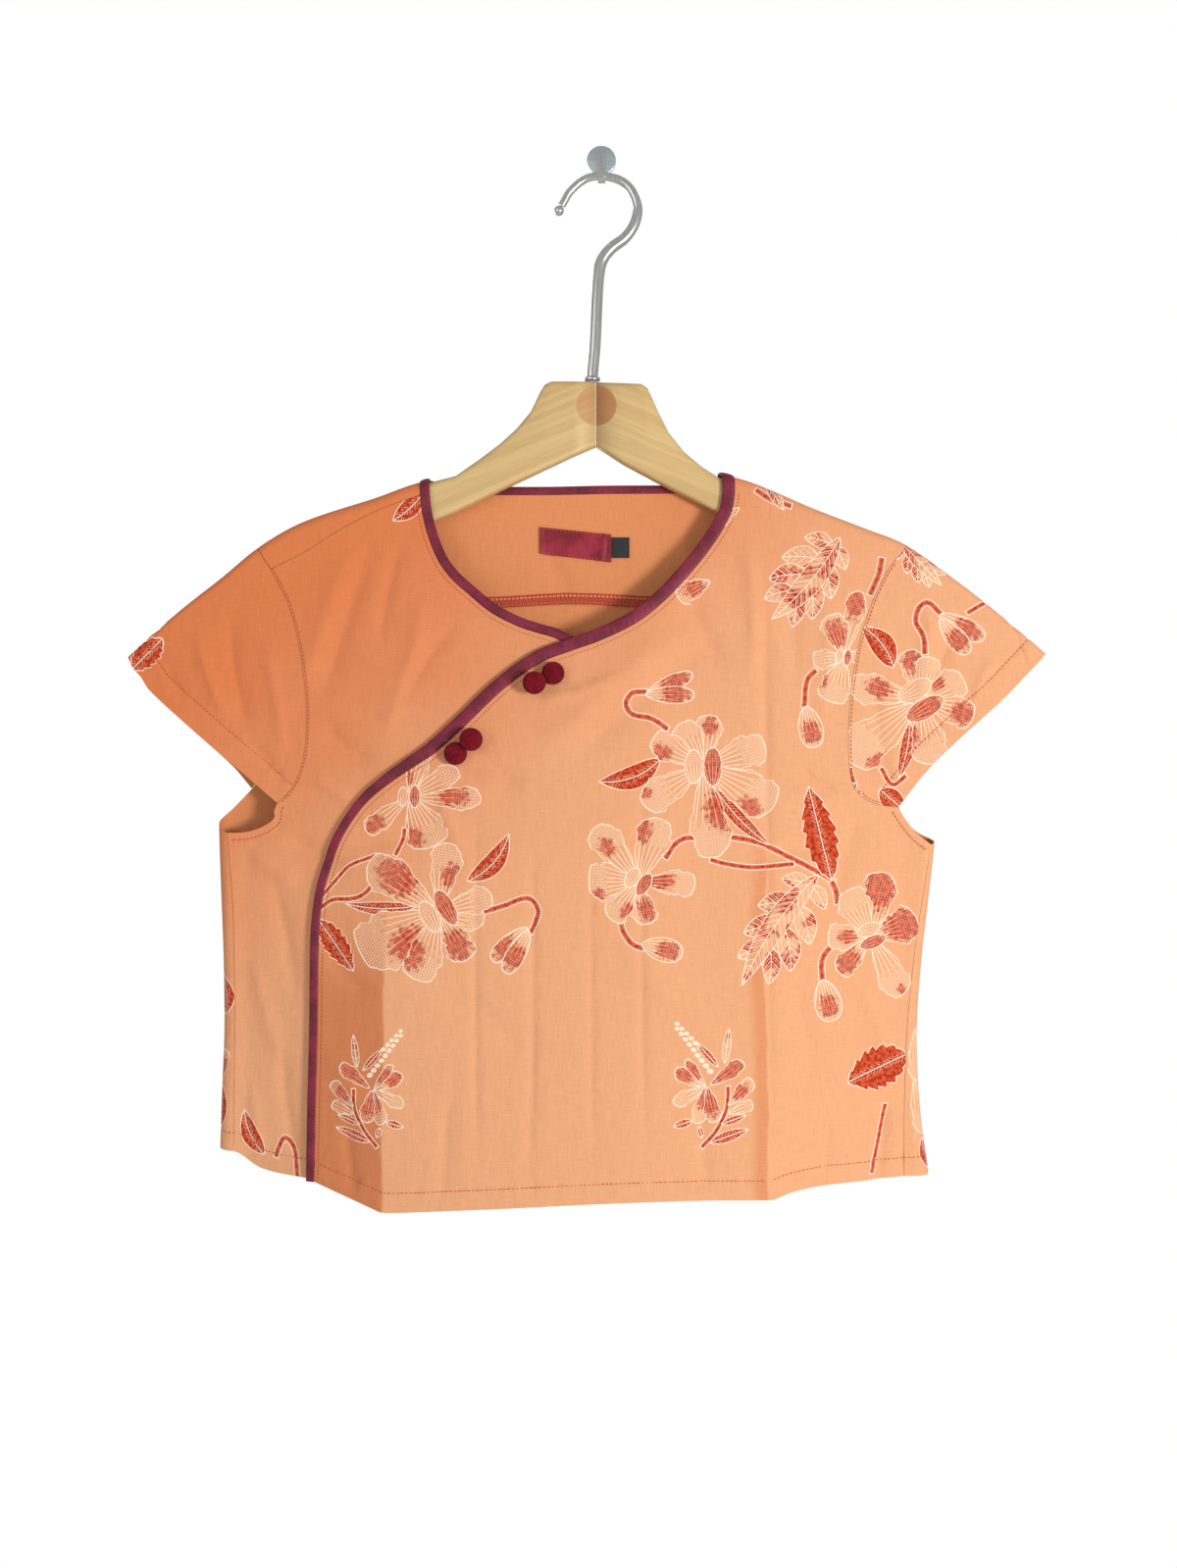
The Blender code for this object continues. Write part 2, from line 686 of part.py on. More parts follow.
def patch(name, corners, material, collection):
    """A small sewn-on rectangle on the inner face of the back, made from the back's own points."""
    low_left, low_right, high_right, high_left = (Vector(corner) for corner in corners)
    points, faces, parts = [], [], 4
    away = CLOTH / 2 + SEAM_GAP + LABEL_THICKNESS / 2
    for side in range(parts + 1):
        low = low_left.lerp(low_right, side / parts)
        high = high_left.lerp(high_right, side / parts)
        for x, v in (low, high):
            points.append(hang_back(x, v) - outward(hang_back, x, v) * away)
    for side in range(parts):
        faces.append((2 * side, 2 * side + 2, 2 * side + 3, 2 * side + 1))
    mesh = bpy.data.meshes.new(name)
    mesh.from_pydata(points, [], faces)
    item = new_object(name, mesh, material, collection)
    wall = item.modifiers.new("Wall", "SOLIDIFY")
    wall.thickness = LABEL_THICKNESS
    wall.offset = 0.0


def bindings():
    """The lines of the three bias strips, each split where another piece meets it."""
    yoke_turn = 0.78
    overlap_top = curve([(0.0832, over(0.0832, yoke_turn)), (0.0832, over(0.0832, 0.69)),
                         (0.0843, over(0.0843, 0.5)), (0.0855, over(0.0855, 0.2)),
                         (0.0856, -0.2360)], 0.004)
    overlap_rest = curve([(0.0856, -0.2360), (0.0835, -0.2480), (0.0730, -0.2668),
                          (0.0575, -0.2870), (0.0390, -0.3068), (0.0210, -0.3212),
                          (-0.0030, -0.3330), (-0.0220, -0.3398), (-0.0430, -0.3480),
                          (-0.0690, -0.3668), (-0.0940, -0.3908), (-0.1140, -0.4090),
                          (-0.1270, -0.4180), (-0.1420, -0.4285), (-0.1580, -0.4420),
                          (-0.1700, -0.4575), (-0.1780, -0.4720), (-0.1840, -0.4890),
                          (-0.1890, -0.5090), (-0.1915, -0.5350), (-0.1920, -0.6000),
                          (-0.1930, -0.6500), (-0.1935, -0.6965)])
    under_top = curve([(-0.1195, over(-0.1195, 0.5)), (-0.1197, over(-0.1197, 0.25)),
                       (-0.1192, -0.2370)], 0.004)
    under_rest = curve([(-0.1192, -0.2370), (-0.1180, -0.2480), (-0.1140, -0.2640),
                        (-0.1070, -0.2810), (-0.0985, -0.2925), (-0.0880, -0.3020),
                        (-0.0730, -0.3145), (-0.0560, -0.3235), (-0.0430, -0.3280),
                        (-0.0310, -0.3315), (-0.0200, -0.3370), (-0.0060, -0.3450)], 0.008)
    neck = curve([(-0.1195, over(-0.1195, 0.5)), (-0.1195, over(-0.1195, 0.40)),
                  (-0.1170, over(-0.1170, 0.27)), (-0.1115, over(-0.1115, 0.14)),
                  (-0.1030, -0.2312), (-0.0900, -0.2322), (-0.0730, -0.2322),
                  (-0.0360, -0.2322), (0.0040, -0.2314), (0.0460, -0.2312),
                  (0.0650, -0.2308), (0.0750, -0.2302), (0.0808, -0.2284),
                  (0.0832, over(0.0832, 0.13)), (0.0832, over(0.0832, 1 - yoke_turn))], 0.005)
    return overlap_top, overlap_rest, under_top, under_rest, neck


def overlap_width(point):
    """The strip is 7.4 mm wide across the chest and narrows to 4.6 mm down the side."""
    return 0.0046 + 0.0028 * smooth_step((point.x + 0.180) / 0.080)


UNDER_WIDTH = 0.0054
NECK_WIDTH = 0.0050


def garment(cloth, binding, collection):
    overlap_top, overlap_rest, under_top, under_rest, neck = bindings()

    # Armholes, each from the ridge down, with the front's and the back's own depth.
    left_front_high = curve([(-0.2345, over(-0.2345, 0.5)), (-0.2290, -0.2790), (-0.2235, -0.2875)])
    left_front_low = curve([(-0.2235, -0.2875), (-0.2120, -0.3100), (-0.2040, -0.3390),
                            (-0.2000, -0.3660), (-0.1988, -0.3870), (-0.2000, -0.4100),
                            (-0.2040, -0.4260), (-0.2100, -0.4370), (-0.2185, -0.4455)])
    left_front_free = curve([(-0.2185, -0.4455), (-0.2208, -0.4510), (-0.2205, -0.4555),
                             (-0.2290, -0.4615), (-0.2410, -0.4650),
                             (seam_x(-0.4655, -1, -1), -0.4655)], 0.006)
    left_back_high = curve([(-0.2345, over(-0.2345, 0.5)), (-0.2302, -0.2900), (-0.2245, -0.3120)])
    left_back_low = curve([(-0.2245, -0.3120), (-0.2200, -0.3320), (-0.2185, -0.3660),
                           (-0.2215, -0.3990), (-0.2300, -0.4230), (-0.2400, -0.4360)])
    left_back_free = curve([(-0.2400, -0.4360), (-0.2495, -0.4460), (-0.2580, -0.4540),
                            (-0.2654, -0.4590), (-0.2720, -0.4635),
                            (seam_x(-0.4655, -1, 1), -0.4655)], 0.006)
    right_front = curve([(0.2050, over(0.2050, 0.78)), (0.2065, over(0.2065, 0.5)),
                         (0.2045, -0.2740), (0.1990, -0.2805), (0.1930, -0.2885),
                         (0.1850, -0.3040), (0.1790, -0.3200), (0.1730, -0.3390),
                         (0.1700, -0.3560), (0.1670, -0.3790), (0.1660, -0.4050),
                         (0.1675, -0.4280), (0.1720, -0.4380), (0.1830, -0.4455),
                         (0.2000, -0.4485)], 0.008)
    right_front_free = curve([(0.2000, -0.4485), (0.2060, -0.4575), (0.2135, -0.4665),
                              (seam_x(-0.4735, 1, -1), -0.4735)], 0.006)
    right_back_high = curve([(0.2050, over(0.2050, 0.22)), (0.2025, -0.2880), (0.1968, -0.3120)])
    right_back_low = curve([(0.1968, -0.3120), (0.1930, -0.3320), (0.1910, -0.3660),
                            (0.1920, -0.4000), (0.1955, -0.4250), (0.2035, -0.4475)])
    right_back_free = curve([(0.2035, -0.4475), (0.2075, -0.4555), (0.2130, -0.4625),
                             (0.2195, -0.4672), (0.2300, -0.4712),
                             (seam_x(-0.4735, 1, 1), -0.4735)], 0.006)

    # Edges of the panels beside the bias strips.
    room = SEAM_GAP / 2
    top_edge = beside(overlap_top, [-(overlap_width(p) / 2 + room) for p in overlap_top])
    low_edge = beside(overlap_rest, [-(overlap_width(p) / 2 + room) for p in overlap_rest])
    under_high_edge = beside(under_top, [UNDER_WIDTH / 2 + room] * len(under_top))
    under_edge = beside(under_rest, [UNDER_WIDTH / 2 + room] * len(under_rest))
    neck_edge = beside(neck, [NECK_WIDTH / 2 + room] * len(neck))

    shoulder = curve([under_edge[0], (-0.1470, -0.2460), (-0.1640, -0.2540), (-0.1820, -0.2640),
                      (-0.1980, -0.2745), (-0.2235, -0.2875)])
    back_shoulder = curve([*other_side(top_edge[:1]), (0.1300, over(0.1300, 0.22)),
                           (0.1700, over(0.1700, 0.22)), (0.2050, over(0.2050, 0.22))])
    yoke_seam = curve([(-0.2245, -0.3120), (-0.1500, -0.3100), (-0.0710, -0.3080),
                       (-0.0200, -0.3055), (0.0400, -0.3080), (0.1200, -0.3105),
                       (0.1968, -0.3120)])

    hidden_edge = curve([(-0.1500, -0.6985), (-0.1500, -0.5400), (-0.1420, -0.4900),
                         (-0.1180, -0.4600), (-0.0800, -0.4260), (-0.0350, -0.3880),
                         (0.0060, -0.3640)])
    cut_cloth("front_under", ring_of(
        shoulder, left_front_low, left_front_free, side_line(-1, -1, -0.4655, -0.6810),
        curve([(seam_x(-0.6810, -1, -1), -0.6810), (-0.2455, -0.6820), (-0.2290, -0.6915),
               (-0.1970, -0.6955), (-0.1500, -0.6985)]),
        hidden_edge, under_edge[::-1]), hang_front, cloth, collection)

    overlap_hem = (
        curve([low_edge[-1], (-0.1670, -0.7045), (-0.1440, -0.7118)])
        + curve([(-0.1440, -0.7118), (-0.1350, -0.7117), (-0.0850, -0.7088), (0.0040, -0.7042),
                 (0.0550, -0.7037), (0.1125, -0.7048)])
        + curve([(0.1125, -0.7048), (0.1250, -0.7014), (0.1440, -0.6992), (0.1810, -0.6985),
                 (seam_x(-0.6975, 1, -1), -0.6975)]))
    cut_cloth("front_overlap", ring_of(
        top_edge, low_edge, overlap_hem, side_line(1, -1, -0.6975, -0.4735),
        right_front_free[::-1], right_front[::-1],
        other_side(back_shoulder[::-1])), hang_overlap, cloth, collection)

    cut_cloth("back_yoke", ring_of(
        yoke_seam, right_back_high[::-1], back_shoulder[::-1], neck_edge[::-1],
        other_side(under_high_edge), other_side(shoulder),
        other_side(left_front_high[::-1]), left_back_high), hang_back, cloth, collection)

    back_hem = curve([(seam_x(-0.6810, -1, 1), -0.6810), (-0.2654, -0.6800), (-0.2507, -0.6812),
                      (-0.1500, -0.6960), (0.0000, -0.7050), (0.1200, -0.7010),
                      (0.2127, -0.6975), (seam_x(-0.6975, 1, 1), -0.6975)])
    cut_cloth("back_lower", ring_of(
        yoke_seam[::-1], left_back_low, left_back_free, side_line(-1, 1, -0.4655, -0.6810),
        back_hem, side_line(1, 1, -0.6975, -0.4735), right_back_free[::-1],
        right_back_low[::-1]), hang_back, cloth, collection)

    left_cuff = curve([(-0.2185, -0.4455), (-0.2500, -0.4190), (-0.2770, -0.3960),
                       (-0.3065, -0.3690), (-0.3120, -0.3605), (-0.3180, -0.3535),
                       (-0.3215, over(-0.3215, 0.5))], 0.007)
    left_cuff_back = curve([(-0.3215, over(-0.3215, 0.5)), (-0.3180, -0.3545),
                            (-0.3120, -0.3618), (-0.3065, -0.3700), (-0.2770, -0.3985),
                            (-0.2525, -0.4210), (-0.2400, -0.4360)], 0.007)
    cut_cloth("sleeve_left", ring_of(
        left_front_high, left_front_low, left_cuff,
        other_side(left_cuff_back), other_side(left_back_low[::-1]),
        other_side(left_back_high[::-1])), hang_front, cloth, collection)

    right_cuff = curve([(0.2000, -0.4485), (0.2200, -0.4235), (0.2410, -0.4030),
                        (0.2720, -0.3750), (0.2880, -0.3585), (0.2980, -0.3480),
                        (0.3015, over(0.3015, 0.5))], 0.007)
    right_cuff_back = curve([(0.3015, over(0.3015, 0.5)), (0.2980, -0.3490), (0.2880, -0.3600),
                             (0.2720, -0.3765), (0.2410, -0.4050), (0.2220, -0.4255),
                             (0.2035, -0.4475)], 0.007)
    cut_cloth("sleeve_right", ring_of(
        right_front, right_cuff, other_side(right_cuff_back), other_side(right_back_low[::-1]),
        other_side(right_back_high[::-1])), hang_front, cloth, collection)

    strip = overlap_top + overlap_rest[1:]
    bind_edge("piping_overlap_edge", strip, [overlap_width(p) for p in strip], hang_overlap,
              True, binding, collection)
    strip = under_top + under_rest[1:]
    bind_edge("piping_under_neck", strip, [UNDER_WIDTH] * len(strip), hang_front,
              False, binding, collection)
    bind_edge("piping_back_neck", neck, [NECK_WIDTH] * len(neck), hang_back, True,
              binding, collection)


def main():
    clear_scene()
    collection = bpy.data.collections.new("crop_top_on_hanger")
    bpy.context.scene.collection.children.link(collection)
    cloth = paint("peach_cotton", (0.86, 0.48, 0.27), 0.85)
    binding = paint("burgundy_satin", (0.18, 0.012, 0.045), 0.45)
    covered = paint("crimson_cover", (0.26, 0.005, 0.015), 0.5)
    dark = paint("black_tab", (0.01, 0.01, 0.012), 0.7)
    wood = paint("pale_wood", (0.72, 0.50, 0.25), 0.5)
    steel = paint("steel", (0.55, 0.55, 0.53), 0.3, 1.0)

    garment(cloth, binding, collection)
    for number, button in enumerate(BUTTONS, 1):
        sew_button(f"button_{number}", button, covered, collection)
    patch("neck_label", ((-0.0420, -0.2750), (0.0065, -0.2810), (0.0065, -0.2620),
                         (-0.0420, -0.2570)), binding, collection)
    patch("size_tab", ((0.0072, -0.2780), (0.0190, -0.2780), (0.0190, -0.2640),
                       (0.0072, -0.2640)), dark, collection)
    wooden_arm("hanger_arm_left", ARM_LEFT, wood, collection)
    wooden_arm("hanger_arm_right", ARM_RIGHT, wood, collection)
    hook_wire(steel, collection)
    collar_length = 0.0022
    collar_top = WIRE_ROUTE[-1][1] - 0.0005
    drum("hook_collar", 0.0055, collar_length,
         (WIRE_ROUTE[-1][0], HANGER_PLANE, collar_top - collar_length / 2), "Z", steel, collection)
    wall_hook(steel, collection)


main()
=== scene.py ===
# %% [markdown]
# # A crop top on a wooden hanger
#
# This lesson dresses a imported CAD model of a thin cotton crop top. It hangs flat over a wooden
# hanger, and the hanger's wire hangs from a small steel hook on the wall. The CAD model gives the
# size and place of every piece. This script keeps that frame, and replaces each plain solid with
# the real thing: cut cloth with a flower print, bias strips, covered buttons and stitches.
#
# Left and right are the viewer's, sizes are in metres, +Z is up and the viewer is at -Y.

# %% Load the frame
import math
from collections import namedtuple

import bmesh
import bpy
import numpy as np
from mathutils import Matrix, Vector
from mathutils.geometry import delaunay_2d_cdt


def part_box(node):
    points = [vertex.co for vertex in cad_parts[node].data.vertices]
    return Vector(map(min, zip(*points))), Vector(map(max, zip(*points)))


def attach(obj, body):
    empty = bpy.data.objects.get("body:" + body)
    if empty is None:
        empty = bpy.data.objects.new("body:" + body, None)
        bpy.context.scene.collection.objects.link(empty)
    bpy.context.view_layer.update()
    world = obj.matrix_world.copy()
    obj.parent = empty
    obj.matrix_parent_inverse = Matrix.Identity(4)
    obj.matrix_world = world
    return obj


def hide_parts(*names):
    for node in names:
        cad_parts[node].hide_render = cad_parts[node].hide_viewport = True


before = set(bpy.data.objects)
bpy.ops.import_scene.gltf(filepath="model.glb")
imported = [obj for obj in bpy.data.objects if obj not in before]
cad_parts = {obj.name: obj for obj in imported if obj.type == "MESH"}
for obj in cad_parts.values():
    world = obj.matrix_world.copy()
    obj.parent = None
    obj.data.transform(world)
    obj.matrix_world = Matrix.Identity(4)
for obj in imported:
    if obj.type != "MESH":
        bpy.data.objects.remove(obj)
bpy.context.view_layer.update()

# %% [markdown]
# ## Camera and light
#
# A garment like this is photographed from straight in front, at half its height, so that both
# sides look alike. The camera stands about 1.1 m away. One rather small lamp shines across the
# cloth from the right. It draws the pressed creases, and makes the cloth brighten from left to
# right, as on the real one. Two big soft lamps, at the left and behind, and the pale room keep
# its shadows light.

# %% Camera
SENSOR_HEIGHT = 36.0
FRAME_HEIGHT = 1599
FOCAL_LENGTH = 1650
CLOTH_AWAY = 1.1
camera_data = bpy.data.cameras.new("front_view")
camera_data.sensor_fit = "VERTICAL"
camera_data.sensor_height = SENSOR_HEIGHT
camera_data.lens = SENSOR_HEIGHT * FOCAL_LENGTH / FRAME_HEIGHT
camera = bpy.data.objects.new("front_view", camera_data)
camera.location = (-0.0089, -1.125, -0.4326)
camera.rotation_euler = (math.radians(90), 0.0, 0.0)
bpy.context.scene.collection.objects.link(camera)
bpy.context.scene.camera = camera
print("The camera sees", round(SENSOR_HEIGHT / camera_data.lens * CLOTH_AWAY, 3), "m of height there")


# %% Lamps, pale room and floor
CLOTH_MIDDLE = Vector((0.0, -0.03, -0.45))


def soft_lamp(name, place, size, power):
    """A square lamp that shines from its place towards the middle of the cloth."""
    data = bpy.data.lights.new(name, "AREA")
    data.size = size
    data.energy = power
    lamp = bpy.data.objects.new(name, data)
    lamp.location = place
    lamp.rotation_euler = (CLOTH_MIDDLE - Vector(place)).to_track_quat("-Z", "Y").to_euler()
    bpy.context.scene.collection.objects.link(lamp)


soft_lamp("key_right", (1.35, -1.70, -0.60), 0.45, 33.5)
soft_lamp("fill_left", (-1.20, -1.60, -0.10), 1.2, 6.0)
soft_lamp("fill_back", (-1.10, 1.70, 0.10), 1.2, 12.0)

# The camera sees the room white, while its light on the cloth is only half as strong.
ROOM_LIGHT = 0.50
room = bpy.data.worlds.new("pale_room")
room.use_nodes = True
seen_directly = room.node_tree.nodes.new("ShaderNodeLightPath")
strength = room.node_tree.nodes.new("ShaderNodeMapRange")
strength.inputs["To Min"].default_value = ROOM_LIGHT
strength.inputs["To Max"].default_value = 1.0
room.node_tree.links.new(seen_directly.outputs["Is Camera Ray"], strength.inputs["Value"])
backdrop = room.node_tree.nodes["Background"]
backdrop.inputs["Color"].default_value = (1.0, 1.0, 1.0, 1.0)
room.node_tree.links.new(strength.outputs["Result"], backdrop.inputs["Strength"])
bpy.context.scene.world = room
bpy.context.scene.view_settings.view_transform = "Standard"

FLOOR_HEIGHT = -2.40
bpy.ops.object.select_all(action="DESELECT")
bpy.ops.mesh.primitive_plane_add(size=5.6, location=(0.0, 0.0, FLOOR_HEIGHT))
floor = bpy.context.object
floor.name = "pale_floor"
paint = bpy.data.materials.new("pale_floor")
paint.use_nodes = True
coat = paint.node_tree.nodes["Principled BSDF"]
coat.inputs["Base Color"].default_value = (0.90, 0.89, 0.88, 1)
coat.inputs["Roughness"].default_value = 0.8
floor.data.materials.append(paint)
print("Floor at z =", floor.location.z)

# %% [markdown]
# ## Cotton that knows where it is
#
# A pattern cutter draws every piece flat. Here a flat point is x across and v up, and one set of
# formulas hangs it: straight down the front, over the round top of the hanger, down the back, and
# round the sides. A cloth simulation could drape it too, but would move the seams away from the
# CAD model. Formulas keep each edge in its place and still bend the cloth everywhere.

# %% Sizes of the cloth and the hanger
CLOTH = 0.0006
SEAM_GAP = 0.0003
OVERLAP_LIFT = 0.0032
HANGER_PLANE = -0.025
WRAP_TOP = -0.440
LEFT_CREASE = -0.1445
RIGHT_CREASE = 0.1080
LEFT_SIDE = -0.240
RIGHT_SIDE = 0.205
TURN = 1.15
SETTLE = 0.050
LATTICE = 0.0032
BEND_STRETCH = 4.0
CREASE_DEPTH = 1.7
SHARPNESS = 1.5
CREASE_FADE = 0.3
CREASE_STEP = 0.0035
CREASE_ROWS = (-1.3, -0.65, 0.0, 0.65, 1.3)
SAME_PLACE = 0.0004
HEM = 0.0125
CUFF_HEM = 0.0160
ARMHOLE_HEM = 0.0060

Ridge = namedtuple("Ridge", "x top radius")
RIDGE = (
    Ridge(-0.330, -0.3545, 0.0030), Ridge(-0.3215, -0.3470, 0.0032),
    Ridge(-0.288, -0.3166, 0.0050), Ridge(-0.258, -0.2929, 0.0064),
    Ridge(-0.232, -0.2716, 0.0074), Ridge(-0.203, -0.2551, 0.0074),
    Ridge(-0.153, -0.2384, 0.0074), Ridge(-0.122, -0.2277, 0.0074),
    Ridge(-0.015, -0.2060, 0.0074), Ridge(0.091, -0.2248, 0.0074),
    Ridge(0.146, -0.2467, 0.0074), Ridge(0.178, -0.2590, 0.0074),
    Ridge(0.206, -0.2703, 0.0074), Ridge(0.235, -0.2905, 0.0066),
    Ridge(0.264, -0.3127, 0.0056), Ridge(0.290, -0.3349, 0.0042),
    Ridge(0.3015, -0.3450, 0.0034), Ridge(0.310, -0.3525, 0.0032),
)
Section = namedtuple("Section", "height side crease middle back")
SECTIONS = (
    Section(-0.235, 0.000, 0.000, 0.0000, 0.0000), Section(-0.300, 0.000, 0.003, 0.0050, 0.0008),
    Section(-0.380, 0.000, 0.008, 0.0110, 0.0020), Section(-0.460, 0.000, 0.014, 0.0180, 0.0032),
    Section(-0.560, -0.001, 0.023, 0.0280, 0.0045), Section(-0.640, -0.001, 0.030, 0.0365, 0.0052),
    Section(-0.712, -0.001, 0.036, 0.0440, 0.0055),
)
Side = namedtuple("Side", "height left_turn left_seam right_turn right_seam")
SIDES = (
    Side(-0.440, -0.2517, -0.2545, 0.2185, 0.2260), Side(-0.465, -0.2515, -0.2530, 0.2180, 0.2240),
    Side(-0.510, -0.2500, -0.2495, 0.2132, 0.2168), Side(-0.550, -0.2485, -0.2485, 0.2085, 0.2110),
    Side(-0.600, -0.2478, -0.2480, 0.2050, 0.2062), Side(-0.650, -0.2496, -0.2487, 0.2068, 0.2044),
    Side(-0.698, -0.2507, -0.2487, 0.2127, 0.2040),
)
print("Tables for", len(RIDGE), "places on the ridge and", len(SECTIONS), "heights")

# %% [markdown]
# ## Creases, listed one by one
#
# Washed cotton keeps soft creases where it was folded, and it drags where buttons pull it. A
# noise texture would wrinkle it evenly, which no cloth does. So each crease is one row: where it
# runs, how wide and deep it is, and how far it bows.

# %% Tables of creases
Fold = namedtuple("Fold", "x1 z1 x2 z2 width depth bow", defaults=(0.0,))
FRONT_FOLDS = (
    Fold(-0.152, -0.256, -0.192, -0.385, 0.0080, -0.0028),
    Fold(-0.166, -0.262, -0.204, -0.375, 0.0080, 0.0022),
    Fold(-0.050, -0.420, 0.062, -0.318, 0.0110, 0.0026),
    Fold(-0.030, -0.425, 0.080, -0.330, 0.0080, -0.0018),
    Fold(0.110, -0.250, 0.110, -0.715, 0.0035, -0.0022),
    Fold(-0.215, -0.468, -0.165, -0.492, 0.0070, -0.0025),
    Fold(0.192, -0.640, 0.184, -0.710, 0.0050, -0.0035),
    Fold(0.175, -0.450, 0.150, -0.520, 0.0080, -0.0022),
)
BACK_FOLDS = (
    Fold(-0.145, -0.260, -0.145, -0.705, 0.0060, 0.0020),
    Fold(0.108, -0.260, 0.108, -0.705, 0.0060, 0.0020),
    Fold(-0.170, -0.275, -0.120, -0.420, 0.0100, -0.0016),
    Fold(0.150, -0.275, 0.090, -0.430, 0.0100, -0.0016),
    Fold(-0.215, -0.470, -0.150, -0.520, 0.0090, 0.0018),
    Fold(0.020, -0.520, 0.000, -0.700, 0.0150, -0.0018),
)
FRONT_CREASES = (
    Fold(-0.0825, -0.430, -0.0800, -0.700, 0.0026, -0.0007, 0.002),
    Fold(-0.0464, -0.455, -0.0480, -0.712, 0.0030, -0.0009, -0.002),
    Fold(-0.0076, -0.460, -0.0060, -0.705, 0.0024, -0.0006),
    Fold(0.0273, -0.400, 0.0290, -0.700, 0.0028, -0.0008, 0.002),
    Fold(0.1304, -0.4190, 0.1600, -0.4380, 0.0024, -0.0013, 0.002),
    Fold(0.1200, -0.4290, 0.1640, -0.4520, 0.0032, 0.0009),
    Fold(-0.1680, -0.4700, -0.1080, -0.4640, 0.0040, -0.0011, 0.003),
    Fold(0.1080, -0.4830, 0.1560, -0.4760, 0.0036, -0.0012, -0.003),
    Fold(-0.0450, -0.3760, 0.0180, -0.3560, 0.0042, 0.0015, 0.004),
    Fold(-0.0960, -0.4190, -0.0500, -0.4380, 0.0050, -0.0014, -0.004),
    Fold(-0.1080, -0.4290, -0.0900, -0.4830, 0.0042, 0.0013, 0.003),
    Fold(0.0560, -0.2980, 0.0880, -0.3600, 0.0070, -0.0016, 0.004),
    Fold(0.0960, -0.2600, 0.1010, -0.3600, 0.0050, 0.0014, -0.003),
    Fold(0.1280, -0.2700, 0.1330, -0.3700, 0.0060, -0.0010, 0.003),
    Fold(0.1520, -0.3000, 0.1450, -0.4000, 0.0060, 0.0010, -0.004),
    Fold(-0.1900, -0.5300, -0.1500, -0.5750, 0.0060, -0.0013, 0.004),
    Fold(-0.1850, -0.6100, -0.1520, -0.6600, 0.0060, 0.0012, -0.003),
    Fold(-0.1700, -0.6500, -0.1620, -0.7080, 0.0040, -0.0012),
    Fold(0.1300, -0.5500, 0.1500, -0.6400, 0.0080, -0.0011, 0.006),
    Fold(0.1700, -0.5600, 0.1900, -0.6200, 0.0060, 0.0010, -0.004),
    Fold(0.1500, -0.6500, 0.1470, -0.7000, 0.0038, -0.0011),
    Fold(-0.1000, -0.6300, -0.1040, -0.7080, 0.0040, -0.0008),
    Fold(0.0650, -0.6100, 0.0700, -0.7030, 0.0040, -0.0008, 0.002),
    Fold(0.0100, -0.5300, 0.0900, -0.6100, 0.0120, 0.0012, 0.006),
    Fold(-0.1200, -0.5600, -0.0400, -0.6200, 0.0120, -0.0010, -0.006),
)
UNDER_CREASES = (
    Fold(-0.1300, -0.2560, -0.1500, -0.3500, 0.0050, -0.0012, 0.004),
    Fold(-0.1180, -0.3000, -0.1500, -0.4100, 0.0070, 0.0015, -0.004),
    Fold(-0.0950, -0.3200, -0.1400, -0.3900, 0.0050, -0.0012, 0.003),
    Fold(-0.1900, -0.3900, -0.1500, -0.4200, 0.0050, -0.0015, 0.003),
    Fold(-0.1980, -0.4250, -0.1650, -0.4450, 0.0040, 0.0013),
    Fold(-0.2400, -0.4750, -0.2000, -0.5000, 0.0045, 0.0014, 0.003),
    Fold(-0.2250, -0.4900, -0.2060, -0.5800, 0.0050, -0.0014, -0.003),
    Fold(-0.2350, -0.5400, -0.2100, -0.6300, 0.0050, 0.0011, 0.004),
    Fold(-0.2150, -0.6000, -0.2040, -0.6900, 0.0040, -0.0013, 0.002),
    Fold(-0.2380, -0.6300, -0.2280, -0.6880, 0.0040, 0.0009),
)
SLEEVE_CREASES = (
    Fold(-0.2500, -0.3050, -0.2350, -0.4050, 0.0060, -0.0013, 0.006),
    Fold(-0.2750, -0.3200, -0.2500, -0.3950, 0.0050, 0.0012, 0.004),
    Fold(-0.2300, -0.3300, -0.2150, -0.4200, 0.0045, 0.0011, -0.003),
    Fold(-0.3000, -0.3350, -0.2800, -0.3800, 0.0040, -0.0008, 0.002),
    Fold(-0.2400, -0.4000, -0.2120, -0.4350, 0.0035, -0.0010),
    Fold(0.2200, -0.3000, 0.2100, -0.3900, 0.0060, 0.0012, -0.005),
    Fold(0.2450, -0.3150, 0.2200, -0.3900, 0.0050, -0.0012, 0.004),
    Fold(0.1850, -0.3600, 0.1950, -0.4350, 0.0040, -0.0012, 0.003),
    Fold(0.2700, -0.3400, 0.2500, -0.3800, 0.0040, 0.0008, 0.002),
    Fold(0.1760, -0.4180, 0.2120, -0.4300, 0.0035, 0.0010, 0.002),
)
